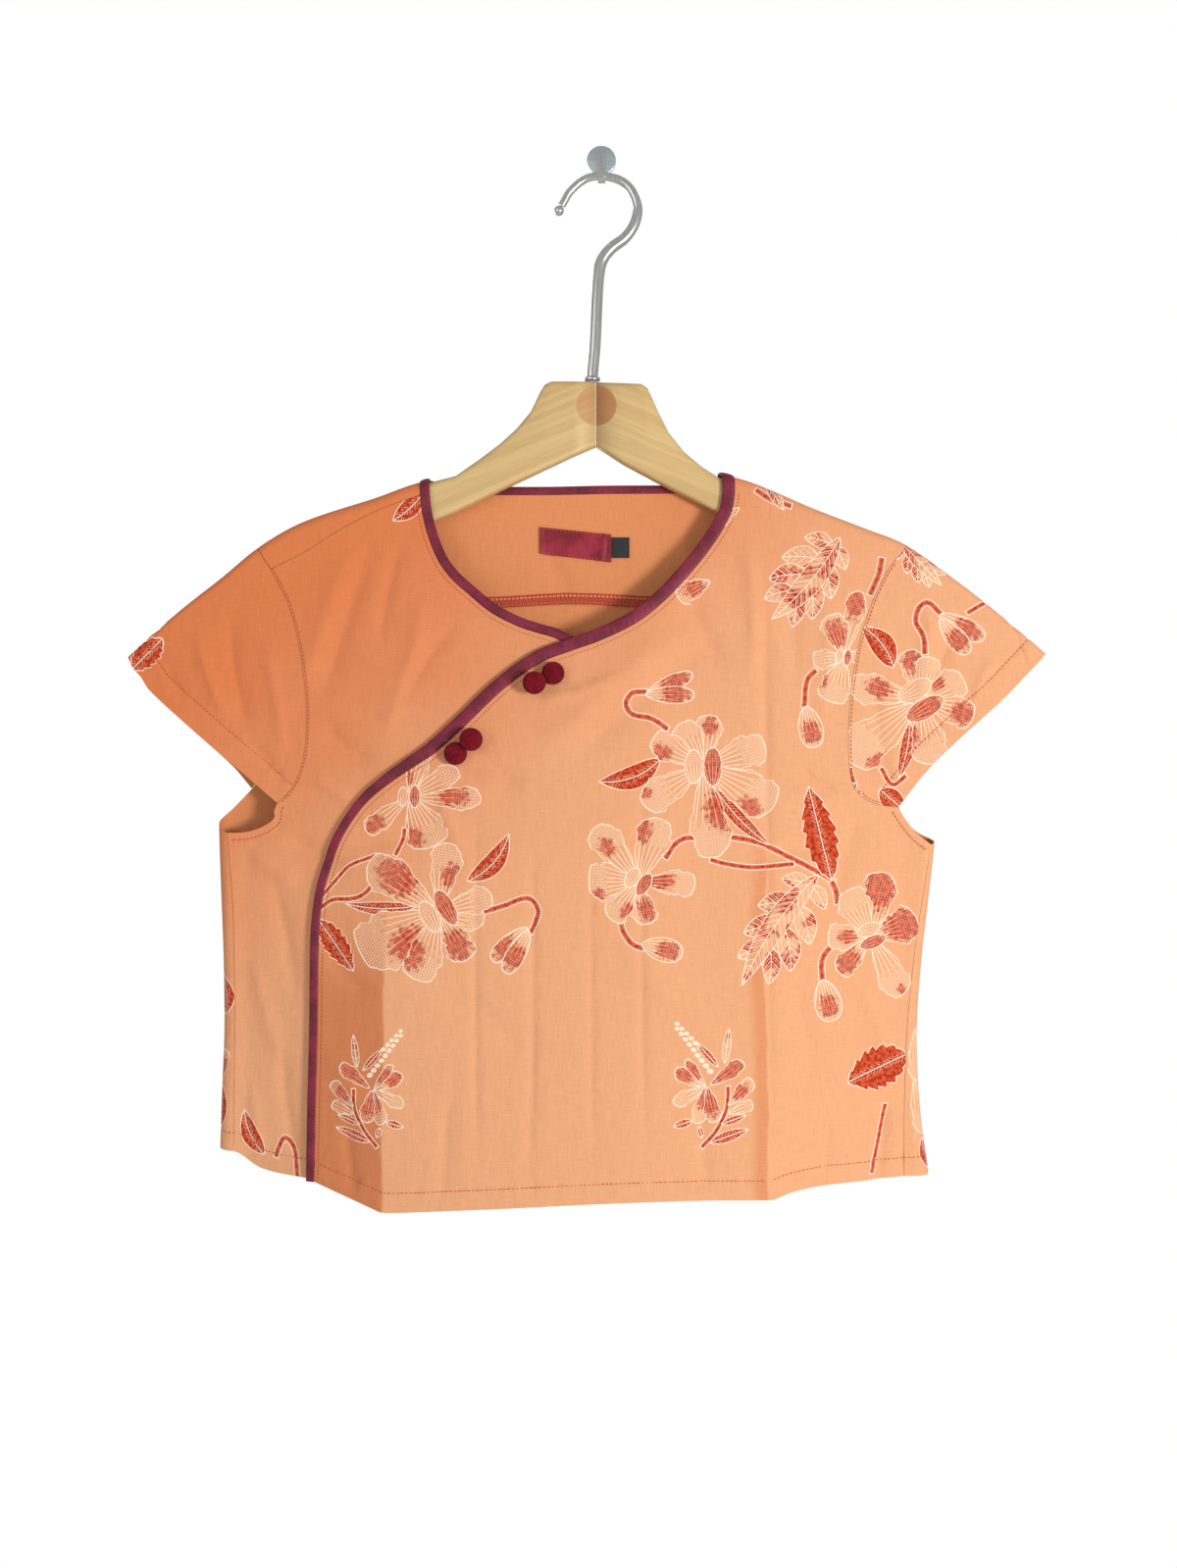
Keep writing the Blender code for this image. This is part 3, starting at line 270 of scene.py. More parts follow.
BACK_CREASES = (
    Fold(-0.0600, -0.3300, -0.0700, -0.6900, 0.0030, -0.0009, 0.003),
    Fold(0.0350, -0.3500, 0.0300, -0.6900, 0.0030, -0.0009, -0.003),
    Fold(-0.1900, -0.3300, -0.1750, -0.4600, 0.0070, 0.0014, 0.005),
    Fold(0.1600, -0.3400, 0.1700, -0.4700, 0.0070, 0.0014, -0.005),
    Fold(-0.1200, -0.4500, -0.0600, -0.5300, 0.0100, -0.0012, 0.006),
    Fold(0.0600, -0.4300, 0.1400, -0.5200, 0.0100, -0.0012, -0.006),
    Fold(-0.2200, -0.5600, -0.1600, -0.6100, 0.0070, 0.0012, 0.004),
    Fold(0.1500, -0.5800, 0.1800, -0.6800, 0.0060, -0.0011, 0.004),
    Fold(-0.1100, -0.6200, -0.1050, -0.6950, 0.0040, -0.0009),
    Fold(0.0700, -0.6200, 0.0740, -0.6950, 0.0040, -0.0008),
    Fold(-0.0400, -0.2700, -0.0200, -0.3050, 0.0060, 0.0008),
    Fold(0.0500, -0.2500, 0.0700, -0.3050, 0.0060, -0.0008),
)
print(len(FRONT_CREASES) + len(UNDER_CREASES), "finer creases in front,", len(BACK_CREASES),
      "behind,", len(SLEEVE_CREASES), "on the sleeves")

# %% [markdown]
# ## From flat to hanging
#
# Each helper below works on whole lists of points at once, so that thousands of points hang in a
# moment. `track` draws a smooth line through a table's column, `relief` adds the creases, and
# `hang` gives the place in space. `outward` finds which way the cloth faces there.


# %% Helpers that read a table smoothly
def smooth_step(share):
    share = np.clip(share, 0.0, 1.0)
    return share * share * (3 - 2 * share)


def track(rows, key, value):
    """A smooth line through one named column of a table, held level beyond its ends."""
    xs, ys = np.array(sorted((getattr(row, key), getattr(row, value)) for row in rows)).T
    last = len(xs) - 1
    ahead, behind = np.minimum(np.arange(last + 1) + 1, last), np.maximum(np.arange(last + 1) - 1, 0)
    slopes = (ys[ahead] - ys[behind]) / (xs[ahead] - xs[behind])

    def read(at):
        at = np.clip(at, xs[0], xs[-1])
        i = np.clip(np.searchsorted(xs, at, side="left") - 1, 0, last - 1)
        width = xs[i + 1] - xs[i]
        t = (at - xs[i]) / width
        start = (1 + 2 * t) * (1 - t) ** 2 * ys[i] + t * (1 - t) ** 2 * width * slopes[i]
        end = t * t * (3 - 2 * t) * ys[i + 1] + t * t * (t - 1) * width * slopes[i + 1]
        return start + end

    return read


ridge_top = track(RIDGE, "x", "top")
ridge_radius = track(RIDGE, "x", "radius")
side_full = track(SECTIONS, "height", "side")
crease_full = track(SECTIONS, "height", "crease")
middle_full = track(SECTIONS, "height", "middle")
back_full = track(SECTIONS, "height", "back")
left_turn = track(SIDES, "height", "left_turn")
left_seam = track(SIDES, "height", "left_seam")
right_turn = track(SIDES, "height", "right_turn")
right_seam = track(SIDES, "height", "right_seam")
print("The ridge at the right shoulder lies at z =", round(float(ridge_top(0.146)), 4))


# %% Helpers that give the cloth's depth
def tangent(x):
    """The height at which the cloth starts to bend over the ridge."""
    return ridge_top(x) - ridge_radius(x)


def relief(folds, x, z):
    """How far the creases move the cloth out at x and z."""
    total = np.zeros(np.broadcast(x, z).shape)
    for fold in folds:
        run_x, run_z = fold.x2 - fold.x1, fold.z2 - fold.z1
        length = math.hypot(run_x, run_z)
        along = ((x - fold.x1) * run_x + (z - fold.z1) * run_z) / length ** 2
        away = ((x - fold.x1) * run_z - (z - fold.z1) * run_x) / length
        away = away - fold.bow * 4 * along * (1 - along)
        fade = smooth_step(along / CREASE_FADE) * smooth_step((1 - along) / CREASE_FADE)
        total += fold.depth * fade * np.exp(-(np.abs(away / fold.width) ** SHARPNESS))
    return total


def fullness(x, z):
    """How far the front stands out at x and z, apart from its creases."""
    side, crease, middle = side_full(z), crease_full(z), middle_full(z)
    half = (RIGHT_CREASE - LEFT_CREASE) / 2
    across = np.clip((x - LEFT_CREASE - half) / half, -1, 1)
    panel = crease + (middle - crease) * (1 - across * across)
    left = np.clip((x - LEFT_SIDE) / (LEFT_CREASE - LEFT_SIDE), 0, 1)
    right = np.clip((RIGHT_SIDE - x) / (RIGHT_SIDE - RIGHT_CREASE), 0, 1)
    flank = side + (crease - side) * np.where(x < LEFT_CREASE, left, right) ** TURN
    return np.where((x >= LEFT_CREASE) & (x <= RIGHT_CREASE), panel, flank)


def depth(x, z, facing):
    """The y of the cloth's middle at x and z, on the front (facing -1) or the back (facing 1)."""
    settled = smooth_step((tangent(x) - z) / SETTLE)
    if facing < 0:
        out = fullness(x, z) + relief(FRONT_FOLDS, x, z)
    else:
        out = back_full(z) + relief(BACK_FOLDS, x, z)
    return HANGER_PLANE + facing * (ridge_radius(x) + out * settled)


# %% Helpers that hang flat points
def hang(x, v, facing):
    """The places in space of flat points of the front (facing -1) or the back (facing 1)."""
    x, v = np.broadcast_arrays(np.asarray(x, float), np.asarray(v, float))
    radius = ridge_radius(x)
    foot = ridge_top(x) - radius
    above = v - foot
    bend = math.pi * radius
    turn = np.clip(above, 0, bend) / radius
    behind = foot - (above - bend)
    z = np.where(above > bend, behind, np.where(above > 0, foot + radius * np.sin(turn), v))
    y = np.where(above > bend, depth(x, behind, -facing),
                 np.where(above > 0, HANGER_PLANE + facing * radius * np.cos(turn),
                          depth(x, v, facing)))
    place = np.stack([x, y, z], -1)
    low = (v < WRAP_TOP) & (above < 0)
    for fold, side in ((left_turn(v), -1), (right_turn(v), 1)):
        wrapped = low & (side * (x - fold) > 0)
        f, b, h = fold[wrapped], (side * (x - fold))[wrapped], v[wrapped]
        near, far = depth(f, h, facing), depth(f, h, -facing)
        half = np.abs(far - near) / 2
        round_side = b / half < math.pi
        inner = f - side * (b - math.pi * half)
        place[wrapped, 0] = np.where(round_side, f + side * half * np.sin(b / half), inner)
        place[wrapped, 1] = np.where(round_side, near + (far - near) * (1 - np.cos(b / half)) / 2,
                                     depth(inner, h, -facing))
    return place


# %% The finer creases of each piece
def creased(place, folds, x, v, facing):
    """Moves hanging points out by the finer creases of one piece, less near the ridge."""
    away = smooth_step((tangent(np.asarray(x, float)) - v) / SETTLE)
    place[..., 1] += facing * CREASE_DEPTH * relief(folds, x, np.asarray(v, float)) * away
    return place


def along_folds(folds):
    """Flat points in rows beside each crease, so that the cut cloth has edges to bend along."""
    rows = []
    for fold in folds:
        run = np.array([fold.x2 - fold.x1, fold.z2 - fold.z1])
        length = math.hypot(*run)
        share = np.linspace(0, 1, max(3, round(length / CREASE_STEP)))
        across = np.array([run[1], -run[0]]) / length
        for off in CREASE_ROWS:
            bow = fold.bow * 4 * share * (1 - share) + off * fold.width
            rows.append(np.array([fold.x1, fold.z1]) + share[:, None] * run + bow[:, None] * across)
    return np.concatenate(rows)


def hang_overlap(x, v):
    place = creased(hang(x, v, -1), FRONT_CREASES, x, v, -1)
    place[..., 1] -= OVERLAP_LIFT * smooth_step((0.075 - np.asarray(x, float)) / 0.060)
    return place


def hang_under(x, v):
    return creased(hang(x, v, -1), UNDER_CREASES, x, v, -1)


def hang_sleeve(x, v):
    return creased(hang(x, v, -1), SLEEVE_CREASES, x, v, -1)


def hang_back(x, v):
    return creased(hang(x, v, 1), BACK_CREASES, x, v, 1)


def outward(place, x, v):
    """The unit normals of the cloth at flat points, away from the inside of the garment."""
    step = 0.0005
    across = place(x + step, v) - place(x - step, v)
    up = place(x, v + step) - place(x, v - step)
    normal = np.cross(across, up)
    normal /= np.linalg.norm(normal, axis=-1, keepdims=True)
    return -normal if place is hang_back else normal


print("The front stands off the back by", round(float(hang_back(0.0, -0.6)[1]
      - hang_overlap(0.0, -0.6)[1]) * 1000, 1), "mm in the middle, low down")


# %% [markdown]
# ## Outlines of the pieces
#
# The paper pattern of a garment is a set of closed outlines that share their seams. The same seam
# line serves both pieces that meet there, so they can't drift apart. `curve` draws a smooth line
# through a few points, `ring_of` joins lines into a closed outline, and `inset` gives each piece
# half of the small gap at its seams.


# %% Helpers for flat lines
Knot = namedtuple("Knot", "t x v")


def over(x, share):
    """The flat height v at a share of the way over the ridge, from this side to the other."""
    return float(tangent(x) + share * math.pi * ridge_radius(x))


def other_side(points):
    """Flat points of one side of the garment, as the other side counts them."""
    points = np.array(points)
    x, v = points.T
    return np.stack([x, 2 * tangent(x) + math.pi * ridge_radius(x) - v], -1)


def lengths_of(line):
    """How far along the line each of its points is."""
    return np.concatenate([[0.0], np.cumsum(np.hypot(*np.diff(line, axis=0).T))])


def curve(points, step=0.003):
    """A smooth line through a few flat points, as points about a step apart."""
    points = np.array(points, float)
    lengths = lengths_of(points)
    knots = [Knot(length, *point) for length, point in zip(lengths, points)]
    spots = np.linspace(0.0, lengths[-1], max(1, round(lengths[-1] / step)) + 1)
    return np.stack([track(knots, "t", "x")(spots), track(knots, "t", "v")(spots)], -1)


def beside(line, shift):
    """The line moved to the right of its own direction."""
    ahead = np.gradient(line, axis=0)
    ahead /= np.hypot(*ahead.T)[:, None]
    return line + np.stack([ahead[:, 1], -ahead[:, 0]], -1) * np.reshape(shift, (-1, 1))


def ring_of(*lines):
    """Lines joined end to end into one closed outline that runs anticlockwise."""
    outline = []
    for point in np.concatenate(lines):
        if not outline or math.dist(point, outline[-1]) > SAME_PLACE:
            outline.append(point)
    if math.dist(outline[0], outline[-1]) < SAME_PLACE:
        outline.pop()
    outline = np.array(outline)
    following = np.roll(outline, -1, axis=0)
    area = np.sum(outline[:, 0] * following[:, 1] - outline[:, 1] * following[:, 0]) / 2
    return outline if area > 0 else outline[::-1]


def inset(outline, by):
    """The anticlockwise outline moved inwards all round."""
    before = outline - np.roll(outline, 1, axis=0)
    after = np.roll(outline, -1, axis=0) - outline
    before /= np.hypot(*before.T)[:, None]
    after /= np.hypot(*after.T)[:, None]
    inward = np.stack([-before[:, 1] - after[:, 1], before[:, 0] + after[:, 0]], -1)
    inward /= np.maximum(np.hypot(*inward.T), 1e-9)[:, None]
    lean = np.maximum(0.4, np.sum(inward * np.stack([-before[:, 1], before[:, 0]], -1), -1))
    return outline + inward * (by / lean)[:, None]


def seam_x(z, side, facing):
    """The flat x of a side seam at a height, as the front or the back counts it."""
    turn, seam = (left_turn(z), left_seam(z)) if side < 0 else (right_turn(z), right_seam(z))
    if facing < 0:
        return float(seam)
    bend = abs(depth(turn, z, 1) - depth(turn, z, -1)) / 2
    return float(turn + side * (math.pi * bend - side * (seam - turn)))


def side_line(side, facing, top, bottom):
    heights = np.linspace(top, bottom, round(abs(top - bottom) / 0.004) + 1)
    return np.array([(seam_x(z, side, facing), z) for z in heights])


# %% Lines of the bias strips
YOKE_TURN = 0.78
overlap_top = curve([(0.0832, over(0.0832, YOKE_TURN)), (0.0832, over(0.0832, 0.69)),
                     (0.0843, over(0.0843, 0.5)), (0.0855, over(0.0855, 0.2)),
                     (0.0856, -0.2360)], 0.0015)
overlap_rest = curve([(0.0856, -0.2360), (0.0835, -0.2480), (0.0730, -0.2668), (0.0575, -0.2870),
                      (0.0390, -0.3068), (0.0210, -0.3212), (-0.0030, -0.3330),
                      (-0.0220, -0.3398), (-0.0430, -0.3480), (-0.0690, -0.3668),
                      (-0.0940, -0.3908), (-0.1140, -0.4090), (-0.1270, -0.4180),
                      (-0.1420, -0.4285), (-0.1580, -0.4420), (-0.1700, -0.4575),
                      (-0.1780, -0.4720), (-0.1840, -0.4890), (-0.1890, -0.5090),
                      (-0.1915, -0.5350), (-0.1920, -0.6000), (-0.1930, -0.6500),
                      (-0.1935, -0.6965)])
under_top = curve([(-0.1195, over(-0.1195, 0.5)), (-0.1197, over(-0.1197, 0.25)),
                   (-0.1192, -0.2370)], 0.0015)
under_rest = curve([(-0.1192, -0.2370), (-0.1180, -0.2480), (-0.1140, -0.2640),
                    (-0.1070, -0.2810), (-0.0985, -0.2925), (-0.0880, -0.3020),
                    (-0.0730, -0.3145), (-0.0560, -0.3235), (-0.0430, -0.3280),
                    (-0.0310, -0.3315), (-0.0200, -0.3370), (-0.0060, -0.3450)])
neck = curve([(-0.1195, over(-0.1195, 0.5)), (-0.1195, over(-0.1195, 0.40)),
              (-0.1170, over(-0.1170, 0.27)), (-0.1115, over(-0.1115, 0.14)),
              (-0.1030, -0.2312), (-0.0900, -0.2322), (-0.0730, -0.2322), (-0.0360, -0.2322),
              (0.0040, -0.2314), (0.0460, -0.2312), (0.0650, -0.2308), (0.0750, -0.2302),
              (0.0808, -0.2284), (0.0832, over(0.0832, 0.13)), (0.0832, over(0.0832, 1 - YOKE_TURN))],
             0.0020)
UNDER_WIDTH = 0.0054
NECK_WIDTH = 0.0050


def overlap_width(line):
    """The strip is 7.4 mm wide across the chest and narrows to 4.6 mm down the side."""
    return 0.0046 + 0.0028 * smooth_step((line[:, 0] + 0.180) / 0.080)


print("The overlap's edge is", round(len(overlap_rest) * 0.003, 2), "m long")

# %% Armholes and seams
left_front_high = curve([(-0.2345, over(-0.2345, 0.5)), (-0.2290, -0.2790), (-0.2235, -0.2875)])
left_front_low = curve([(-0.2235, -0.2875), (-0.2120, -0.3100), (-0.2040, -0.3390),
                        (-0.2000, -0.3660), (-0.1988, -0.3870), (-0.2000, -0.4100),
                        (-0.2040, -0.4260), (-0.2100, -0.4370), (-0.2185, -0.4455)])
left_front_free = curve([(-0.2185, -0.4455), (-0.2208, -0.4510), (-0.2205, -0.4555),
                         (-0.2290, -0.4615), (-0.2410, -0.4650), (seam_x(-0.4655, -1, -1), -0.4655)])
left_back_high = curve([(-0.2345, over(-0.2345, 0.5)), (-0.2302, -0.2900), (-0.2245, -0.3120)])
left_back_low = curve([(-0.2245, -0.3120), (-0.2200, -0.3320), (-0.2185, -0.3660),
                       (-0.2215, -0.3990), (-0.2300, -0.4230), (-0.2400, -0.4360)])
left_back_free = curve([(-0.2400, -0.4360), (-0.2495, -0.4460), (-0.2580, -0.4540),
                        (-0.2654, -0.4590), (-0.2720, -0.4635), (seam_x(-0.4655, -1, 1), -0.4655)])
right_front = curve([(0.2050, over(0.2050, 0.78)), (0.2065, over(0.2065, 0.5)),
                     (0.2045, -0.2740), (0.1990, -0.2805), (0.1930, -0.2885), (0.1850, -0.3040),
                     (0.1790, -0.3200), (0.1730, -0.3390), (0.1700, -0.3560), (0.1670, -0.3790),
                     (0.1660, -0.4050), (0.1675, -0.4280), (0.1720, -0.4380), (0.1830, -0.4455),
                     (0.2000, -0.4485)])
right_front_free = curve([(0.2000, -0.4485), (0.2060, -0.4575), (0.2135, -0.4665),
                          (seam_x(-0.4735, 1, -1), -0.4735)])
right_back_high = curve([(0.2050, over(0.2050, 0.22)), (0.2025, -0.2880), (0.1968, -0.3120)])
right_back_low = curve([(0.1968, -0.3120), (0.1930, -0.3320), (0.1910, -0.3660),
                        (0.1920, -0.4000), (0.1955, -0.4250), (0.2035, -0.4475)])
right_back_free = curve([(0.2035, -0.4475), (0.2075, -0.4555), (0.2130, -0.4625),
                         (0.2195, -0.4672), (0.2300, -0.4712), (seam_x(-0.4735, 1, 1), -0.4735)])

# %% Edges beside the strips, shoulders, yoke and hems
top_edge = beside(overlap_top, -(overlap_width(overlap_top) / 2 + SEAM_GAP / 2))
low_edge = beside(overlap_rest, -(overlap_width(overlap_rest) / 2 + SEAM_GAP / 2))
under_high_edge = beside(under_top, UNDER_WIDTH / 2 + SEAM_GAP / 2)
under_edge = beside(under_rest, UNDER_WIDTH / 2 + SEAM_GAP / 2)
neck_edge = beside(neck, NECK_WIDTH / 2 + SEAM_GAP / 2)
shoulder = curve([under_edge[0], (-0.1470, -0.2460), (-0.1640, -0.2540), (-0.1820, -0.2640),
                  (-0.1980, -0.2745), (-0.2235, -0.2875)])
back_shoulder = curve([*other_side(top_edge[:1]), (0.1300, over(0.1300, 0.22)),
                       (0.1700, over(0.1700, 0.22)), (0.2050, over(0.2050, 0.22))])
yoke_seam = curve([(-0.2245, -0.3120), (-0.1500, -0.3100), (-0.0710, -0.3080), (-0.0200, -0.3055),
                   (0.0400, -0.3080), (0.1200, -0.3105), (0.1968, -0.3120)])
hidden_edge = curve([(-0.1500, -0.6985), (-0.1500, -0.5400), (-0.1420, -0.4900),
                     (-0.1180, -0.4600), (-0.0800, -0.4260), (-0.0350, -0.3880), (0.0060, -0.3640)])
under_hem = curve([(seam_x(-0.6810, -1, -1), -0.6810), (-0.2455, -0.6820), (-0.2290, -0.6915),
                   (-0.1970, -0.6955), (-0.1500, -0.6985)])
overlap_hem = np.concatenate([
    curve([low_edge[-1], (-0.1670, -0.7045), (-0.1440, -0.7118)]),
    curve([(-0.1440, -0.7118), (-0.1350, -0.7117), (-0.0850, -0.7088), (0.0040, -0.7042),
           (0.0550, -0.7037), (0.1125, -0.7048)])[1:],
    curve([(0.1125, -0.7048), (0.1250, -0.7014), (0.1440, -0.6992), (0.1810, -0.6985),
           (seam_x(-0.6975, 1, -1), -0.6975)])[1:]])
back_hem = curve([(seam_x(-0.6810, -1, 1), -0.6810), (-0.2654, -0.6800), (-0.2507, -0.6812),
                  (-0.1500, -0.6960), (0.0000, -0.7050), (0.1200, -0.7010),
                  (0.2127, -0.6975), (seam_x(-0.6975, 1, 1), -0.6975)])

# %% Cuffs
left_cuff = curve([(-0.2185, -0.4455), (-0.2500, -0.4190), (-0.2770, -0.3960),
                   (-0.3065, -0.3690), (-0.3120, -0.3605), (-0.3180, -0.3535),
                   (-0.3215, over(-0.3215, 0.5))])
left_cuff_back = curve([(-0.3215, over(-0.3215, 0.5)), (-0.3180, -0.3545), (-0.3120, -0.3618),
                        (-0.3065, -0.3700), (-0.2770, -0.3985), (-0.2525, -0.4210),
                        (-0.2400, -0.4360)])
right_cuff = curve([(0.2000, -0.4485), (0.2200, -0.4235), (0.2410, -0.4030), (0.2720, -0.3750),
                    (0.2880, -0.3585), (0.2980, -0.3480), (0.3015, over(0.3015, 0.5))])
right_cuff_back = curve([(0.3015, over(0.3015, 0.5)), (0.2980, -0.3490), (0.2880, -0.3600),
                         (0.2720, -0.3765), (0.2410, -0.4050), (0.2220, -0.4255),
                         (0.2035, -0.4475)])
print("The hem in front is", round(float(lengths_of(overlap_hem)[-1]), 3), "m along its edge")

# %% [markdown]
# ## The printed flowers
#
# Batik is drawn with wax, so its flowers have thin pale outlines, with fine rays, nets and hatches
# inside. An image could hold such a print, but it would blur up close. Here the shapes are cut
# into the cloth's own mesh, flat as dye, so every outline stays crisp. Each petal or leaf has its
# own small coordinates, and its material draws the rays and hatches from them. The flowers are
# plain ones of the usual kind, drawn by formula from a few rows: direction, reach and width.

# %% Tables of flowers, leaves and stems, in millimetres
Flower = namedtuple("Flower", "x v wide long turn petals")
FLOWERS = (
    Flower(68, -421, 20, 29, 90, ((81, 35, 16, .75, 0, .22), (118, 33, 19, 0, 0, 0),
           (153, 39, 17, .72, .2, .2), (19, 44, 19, 0, 0, 0), (-30, 54, 25, .72, -.25, .16),
           (-149, 48, 20, .88, -.2, .1), (-84, 61, 24, .45, .3, .25))),
    Flower(24, -497, 14, 19, 60, ((128, 46, 19, .65, .1, .15), (71, 44, 22, .72, .3, .2),
           (-179, 33, 22, .8, .3, .17), (-3, 38, 15, .35, .1, .25), (-127, 31, 15, .6, .3, .2),
           (-79, 29, 15, .6, .1, .3))),
    Flower(181, -535, 14, 22, 20, ((78, 44, 21, .75, 0, .4), (18, 34, 23, .7, 0, .5),
           (119, 35, 20, 0, 0, 0), (-180, 30, 16, .5, 0, .25), (-134, 33, 14, .7, 0, .35),
           (-62, 46, 19, .93, .1, .1))),
    Flower(163, -347, 9, 13, 80, ((76, 46, 13, .8, .1, .25), (107, 30, 17, .5, 0, .35),
           (-171, 21, 12, 0, 0, 0), (-106, 32, 19, .6, -.4, .15), (-1, 26, 15, 0, 0, 0))),
    Flower(-108, -517, 19, 29, 120, ((81, 46, 19, .5, -.2, .2), (145, 57, 24, .6, -.1, .28),
           (-150, 59, 33, .42, .2, .25), (-107, 47, 21, .65, -.3, .25), (-59, 37, 17, .65, 0, .35),
           (-9, 31, 16, 0, 0, 0), (17, 37, 16, 0, 0, 0))),
    Flower(-128, -441, 12, 17, 90, ((-2, 48, 14, .6, .1, .22), (29, 37, 14, 0, 0, 0),
           (77, 33, 14, .3, .2, .15), (-141, 37, 12, .8, 0, .22), (-65, 37, 24, .7, -.3, .24))),
)
SLEEVE_FLOWERS = (
    Flower(215, -376, 22, 32, 30, ((102, 35, 16, .75, 0, .3), (76, 30, 17, 0, 0, 0),
           (27, 33, 19, .4, .2, .2), (-17, 38, 18, .8, 0, .3), (-80, 44, 22, .45, -.4, .2),
           (-141, 64, 28, .75, .4, .12), (168, 49, 19, .55, -.1, .2))),
)
Leaf = namedtuple("Leaf", "kind x v turn long wide bow")
LEAVES = (
    Leaf("dark", 39, -416, -160, 44, 16, .12), Leaf("dark", 75, -435, -46, 54, 10, -.05),
    Leaf("serrated", 154, -497, 104, 65, 25, 0), Leaf("lobed", 145, -493, -126, 90, 50, -.05),
    Leaf("lobed", 161, -266, -130, 73, 49, .05), Leaf("dark", -122, -513, 179, 49, 9, .05),
    Leaf("dark", -89, -497, 49, 42, 14, -.12), Leaf("serrated", -189, -523, -54, 42, 19, 0),
    Leaf("bud", 29, -373, 24, 35, 11, 0), Leaf("bud", 29, -373, 0, 33, 12, 0),
    Leaf("bud", 26, -538, -14, 28, 16, 0), Leaf("bud", 147, -563, -76, 29, 19, 0),
    Leaf("bud", 137, -380, -78, 29, 17, 0), Leaf("bud", -49, -527, -137, 32, 13, 0),
    Leaf("bud", -48, -529, -119, 32, 13, 0), Leaf("serrated", 206.5, -615, -158, 46, 31, 0),
)
SLEEVE_LEAVES = (
    Leaf("lobed", 201, -268, -47, 42, 27, 0), Leaf("dark", 197, -354, 128, 35, 17, -.1),
    Leaf("dark", 208, -391, -102, 39, 10, .05), Leaf("pale", 171, -432, -132, 26, 14, 0),
    Leaf("bud", 228, -318, -28, 35, 14, 0), Leaf("bud", 228, -321, -49, 31, 14, 0),
    Leaf("serrated", -297, -334, -135, 32, 18, 0), Leaf("dark", 187, -436, -40, 24, 15, 0),
)
Stem = namedtuple("Stem", "wide points")
STEMS = (
    Stem(3.7, ((44, -396), (33, -389), (20, -386), (16, -379), (20, -372), (30, -371))),
    Stem(3.7, ((62, -468), (54, -469), (48, -473), (42, -482))),
    Stem(3.6, ((12, -522), (14, -530), (20, -538), (27, -541))),
    Stem(3.7, ((86, -468), (98, -470), (108, -473), (128, -483), (142, -490), (156, -498))),
    Stem(3.0, ((72, -483), (84, -486), (101, -488), (128, -486))),
    Stem(4.2, ((154, -498), (157, -504), (158, -513))),
    Stem(4.0, ((153, -541), (147, -550), (147, -564))),
    Stem(3.7, ((144, -356), (138, -363), (136, -381))),
    Stem(3.7, ((104, -234), (115, -241), (128, -245))),
    Stem(4.2, ((189, -280), (187, -291), (181, -305))),
    Stem(2.7, ((-131, -462), (-132, -469), (-137, -480))),
    Stem(3.4, ((-78, -517), (-65, -513), (-49, -508), (-42, -516), (-47, -531))),
    Stem(3.0, ((-192, -519), (-180, -510), (-168, -509), (-160, -507), (-150, -498))),
    Stem(2.4, ((-188, -509), (-174, -493), (-168, -487), (-150, -480))),
)
SLEEVE_STEMS = (
    Stem(3.7, ((218, -345), (217, -333), (212, -323), (214, -314), (220, -310), (229, -318))),
    Stem(3.0, ((259, -310), (247, -317))), Stem(4.2, ((166, -422), (170, -435), (177, -450))),
    Stem(3.0, ((188, -422), (196, -433), (205, -427))),
)
print(len(FLOWERS) + len(SLEEVE_FLOWERS), "flowers,", len(LEAVES) + len(SLEEVE_LEAVES), "leaves")

# %% [markdown]
# ## One shape for petals, leaves and buds
#
# A petal and a leaf are both a spine with a width that swells and shrinks along it. Only the
# profile differs: round for a petal, pointed for a leaf, toothed for a serrated one. The wax line
# round a shape is the strip between its outline and a slightly smaller copy.

# %% Helpers for motif shapes
WAX = 0.00055
PETAL_START = 0.20
PETAL_SPREAD = 1.22
Motif = namedtuple("Motif", "finish outer inner local spot")


def profile(kind, s, phase):
    """The half width of a shape at a share s of its length, before it is scaled."""
    tooth = (s * 6.5 + phase * 0.1) % 1.0
    leaf = s ** 0.70 * (1 - s) ** 0.85
    half = {
        "petal": ((s * (1 - s)) ** 0.40 * (0.34 + 0.80 * s)
                  * (1 + 0.15 * s * np.cos(15 * s + phase) + 0.07 * s * np.cos(41 * s + phase))),
        "bud": s ** 0.62 * (1 - s) ** 0.42,
        "oval": np.sqrt(np.maximum(s * (1 - s), 0)),
        "dark": leaf,
        "pale": leaf,
        "serrated": leaf * (1.0 - 0.26 * tooth),
    }[kind]
    return half / half.max()


def turned(along, across, x, v, turn):
    """Points given along and across a direction, as flat points."""
    c, s = math.cos(math.radians(turn)), math.sin(math.radians(turn))
    return np.stack([x + along * c - across * s, v + along * s + across * c], -1)


